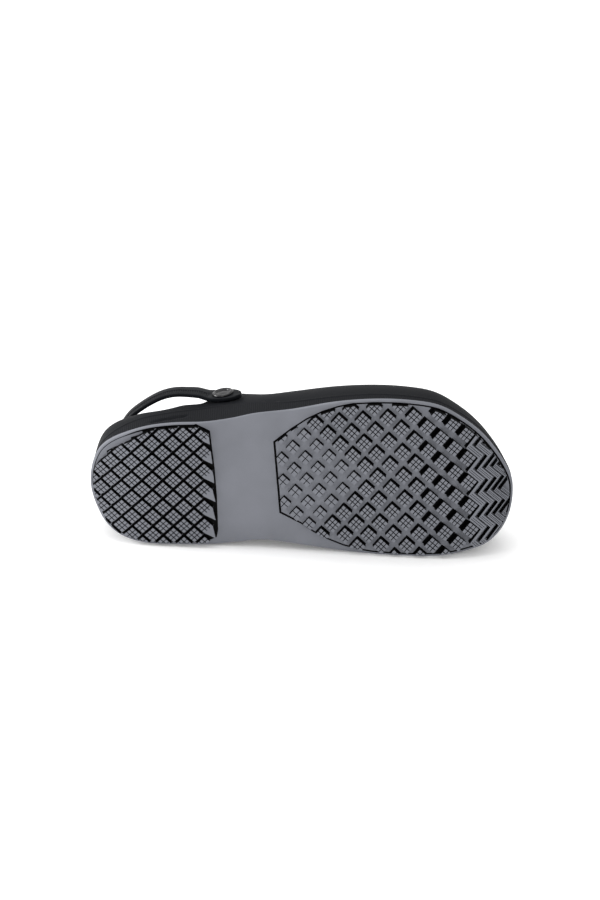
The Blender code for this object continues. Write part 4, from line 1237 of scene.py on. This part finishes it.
def strap_half(side):
    """Rows from the pad to the heel: middle of the outer face, up, width and recess."""
    count = len(STRAP_OUTER)
    indexed = tuple((k, *row) for k, row in enumerate(STRAP_OUTER))
    pivot, out = pad_frame(side)
    seat = pivot + out * (PAD_LIFT[side] + FIT_GAP + STRAP_THICK)
    pad_up = out.cross(Vector((0, 0, 1))).cross(out).normalized()
    half = []
    for step in np.linspace(0, count - 1, STRAP_STEPS * (count - 1) + 1):
        x, y, z, width = (through(indexed, column, step) for column in (1, 2, 3, 4))
        if side == MEDIAL:
            y = MEDIAL_STRAP_SCALE * (STRAP_MIDDLE - y) + STRAP_MIDDLE
        share = ramp(step, *PAD_BLEND[side])
        pad_y = seat.y - ((x - seat.x) * out.x + (z - seat.z) * out.z) / out.y
        up = pad_up.lerp(Vector((0, 0, 1)), share).normalized()
        middle = Vector((x, blend(pad_y, y, share), z))
        half.append((middle, up, width, ramp(step, *RECESS_FADE)))
    return half


def strap_foam():
    """Firm EVA foam with a satin skin, a little glossier than the upper's."""
    sockets = {"Specular_IOR_Level": 0.09, "Roughness": 0.5}
    foam = Finish("satin_strap_foam", ("#0c0e11", "#14161a"), scale=80.0, detail=3.0, **sockets)
    foam.raised(foam.noise(scale=2100.0, detail=2.0), distance=0.04, strength=0.6)
    return foam.material


def rib_block():
    """Half-round rib: unit width, length from -1 to 1, unit rise."""
    angles = np.linspace(0, math.pi, STRAP_RIB_SIDES)
    profile = [(math.cos(angle) / 2, math.sin(angle)) for angle in angles]
    profile = [(0.5, STRAP_RIB_ROOT)] + profile + [(-0.5, STRAP_RIB_ROOT)]
    verts = [(x, y, z) for y in (-1.0, 1.0) for x, z in profile]
    count = len(profile)
    faces = [tuple(range(count)), tuple(range(2 * count - 1, count - 1, -1))]
    for i in range(count):
        j = (i + 1) % count
        faces.append((i, i + count, j + count, j))
    mesh = bpy.data.meshes.new("rib_block")
    mesh.from_pydata(verts, [], faces)
    return placed("rib_block", mesh)


outer_half, inner_half = strap_half(LATERAL), strap_half(MEDIAL)
line = outer_half + inner_half[-2::-1]
ends = []
for (pivot, up, width, _), neighbour in ((line[0], line[1]), (line[-1], line[-2])):
    away = (pivot - neighbour[0]).normalized()
    end = []
    for angle in PAD_ANGLES:
        reach, share = math.sin(math.radians(angle)), math.cos(math.radians(angle))
        end.append((pivot + away * PAD_REACH * reach, up, max(width * share, PAD_TIP), 0.0))
    ends.append(end)
full = ends[0] + line + ends[1][::-1]
strap_shape, strap_sections, rib_line = Shape(), [], []
for i, (middle, up, width, recess) in enumerate(full):
    before, after = full[max(i - 1, 0)][0], full[min(i + 1, len(full) - 1)][0]
    out = up.cross(after - before).normalized()
    section = []
    for depth, share, inset, recessed in STRAP_SECTION:
        half = width / 2
        rise = share * half - math.copysign(min(inset, half * INSET_MOST), share)
        depth = depth - (BAND_RECESS * recess if recessed else 0.0)
        section.append(strap_shape.add(middle + out * depth + up * rise))
    strap_sections.append(section)
    if recess > RIBS_FROM:
        rib_line.append((middle, out, up, width / 2))
strap_shape.skin(strap_sections, closed=True)
for section in (strap_sections[0], strap_sections[-1]):
    strap_shape.face(section)
strap_finish = strap_foam()
strap_bar = strap_shape.made("strap_bar", [strap_finish], UPRIGHT)

rib_rows, travelled, due = [], 0.0, 0.0
for first, second in zip(rib_line, rib_line[1:]):
    length = (second[0] - first[0]).length
    while due < travelled + length:
        share = (due - travelled) / length
        middle, out, up = (first[k].lerp(second[k], share) for k in range(3))
        half = blend(first[3], second[3], share)
        place = middle - out * BAND_RECESS + up * half * STRAP_RIB_MIDDLE
        turn = Matrix((up.cross(out), up, out)).transposed().to_euler()
        rib_rows.append((place, (STRAP_RIB_WIDTH, half * STRAP_RIB_REACH, STRAP_RIB_RISE), turn))
        due += STRAP_RIB_PITCH
    travelled += length
strap_ribs = repeated("strap_ribs", rib_rows, rib_block(), blocks, strap_finish, strap_finish)
strap = joined("heel_strap_bar", [strap_bar, strap_ribs], [strap_finish], STRAP_SHARP_ANGLE)
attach(strap, "root")
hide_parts("heel_strap")

# Rivets. Two-part snap rivets of glossy plastic: a round head with a raised ring outside the
# strap, a shank through strap and wall, and a flat washer inside the shoe.
RIVET_SHANK, RIVET_SIDES = 3.2, 64
RIVET_HEAD = (
    (7.1, 0.0),
    (7.4, 0.25),
    (7.4, 0.6),
    (7.1, 1.05),
    (6.5, 1.4),
    (5.9, 1.5),
    (5.35, 1.3),
    (5.0, 0.8),
    (4.7, 0.5),
    (3.0, 0.45),
    (2.5, 0.6),
    (1.3, 0.8),
    (0.3, 0.85),
)
RIVET_WASHER, WASHER_GAP = ((5.5, -1.6), (5.85, -1.45), (6.0, -1.1), (6.0, 0.0)), 0.7


def rivet_plastic():
    """Injection-moulded acetal: dark, smooth and glossy, faintly clouded."""
    tints = ("#141416", "#1d1d20")
    made = Finish("moulded_acetal", tints, scale=260.0, Specular_IOR_Level=0.5)
    made.roughened(low=0.16, high=0.28)
    return made.material


rivet_finish = rivet_plastic()
angles = [2 * math.pi * k / RIVET_SIDES for k in range(RIVET_SIDES)]
for side, node in ((LATERAL, "strap_rivet_lateral"), (MEDIAL, "strap_rivet_medial")):
    here, out = pad_frame(side)
    pivot = Matrix.Translation(here) @ out.to_track_quat("Z", "Y").to_matrix().to_4x4()
    washer, head = -WALL - WASHER_GAP, FIT_GAP * 2 + STRAP_THICK + PAD_LIFT[side]
    profile = [(radius, washer + height) for radius, height in RIVET_WASHER]
    profile += [(RIVET_SHANK, washer), (RIVET_SHANK, head)]
    profile += [(radius, head + height) for radius, height in RIVET_HEAD]
    turning, rings = Shape(), []
    for radius, height in profile:
        ring = [(radius * math.cos(angle), radius * math.sin(angle), height) for angle in angles]
        rings.append([turning.add(point) for point in ring])
    turning.skin(rings, closed=True)
    turning.face(rings[0])
    turning.face(rings[-1])
    rivet = turning.made(node + "_turned", [rivet_finish], LYING @ pivot)
    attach(rivet, "root")
    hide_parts(node)

# Floor, light and camera. A white studio floor, faintly lit through, under an even white surround,
# with one large soft light overhead, a weak one before the sole and a card behind the heel.
FLOOR_REACH, FLOOR_GLOW, SURROUND = 8.0, 0.12, 0.93
# Soft square lights: place, aim, size in metres, power
LIGHTS = {
    "overhead": ((-0.2, 0.3, 1.7), (0.0, 0.0, 0.05), 1.5, 11.0),
    "front": ((-0.4, -1.8, 0.45), (0.0, 0.0, 0.05), 0.8, 4.5),
    "heel_card": ((-1.2, 0.1, 0.35), (-0.1, 0.0, 0.05), 0.6, 14.5),
}
CAMERA_AT, CAMERA_LENS = (-0.0718886, -2.9748364, 1.3376975), 187.0
CAMERA_TURN = (66.674614, -2.956779, -0.067023)
floor_mesh = bpy.data.meshes.new("floor")
quarters = ((-1, -1), (1, -1), (1, 1), (-1, 1))
corners = [(x * FLOOR_REACH, y * FLOOR_REACH, 0.0) for x, y in quarters]
floor_mesh.from_pydata(corners, [], [(0, 1, 2, 3)])
floor = placed("floor", floor_mesh)
sockets = {"Roughness": 0.95, "Specular_IOR_Level": 0.1, "Emission_Strength": FLOOR_GLOW}
sockets["Emission_Color"] = linear("#ffffff")
white_floor = Finish("white_floor", ("#ffffff", "#ffffff"), scale=1.0, **sockets).material
floor_mesh.materials.append(white_floor)

world = bpy.data.worlds.new("studio")
bpy.context.scene.world = world
world.use_nodes = True
surround = world.node_tree.nodes["Background"].inputs
surround["Color"].default_value = linear("#ffffff")
surround["Strength"].default_value = SURROUND
for name, (place, aim, size, power) in LIGHTS.items():
    lamp = bpy.data.lights.new(name, "AREA")
    lamp.shape, lamp.size, lamp.energy = "SQUARE", size, power
    box = placed(name, lamp)
    box.location = place
    box.rotation_euler = (Vector(aim) - Vector(place)).to_track_quat("-Z", "Y").to_euler()
camera = placed("camera", bpy.data.cameras.new("camera"))
camera.data.lens = CAMERA_LENS
camera.location = CAMERA_AT
camera.rotation_euler = [math.radians(angle) for angle in CAMERA_TURN]
bpy.context.scene.camera = camera
bpy.context.scene.view_settings.view_transform = "Standard"
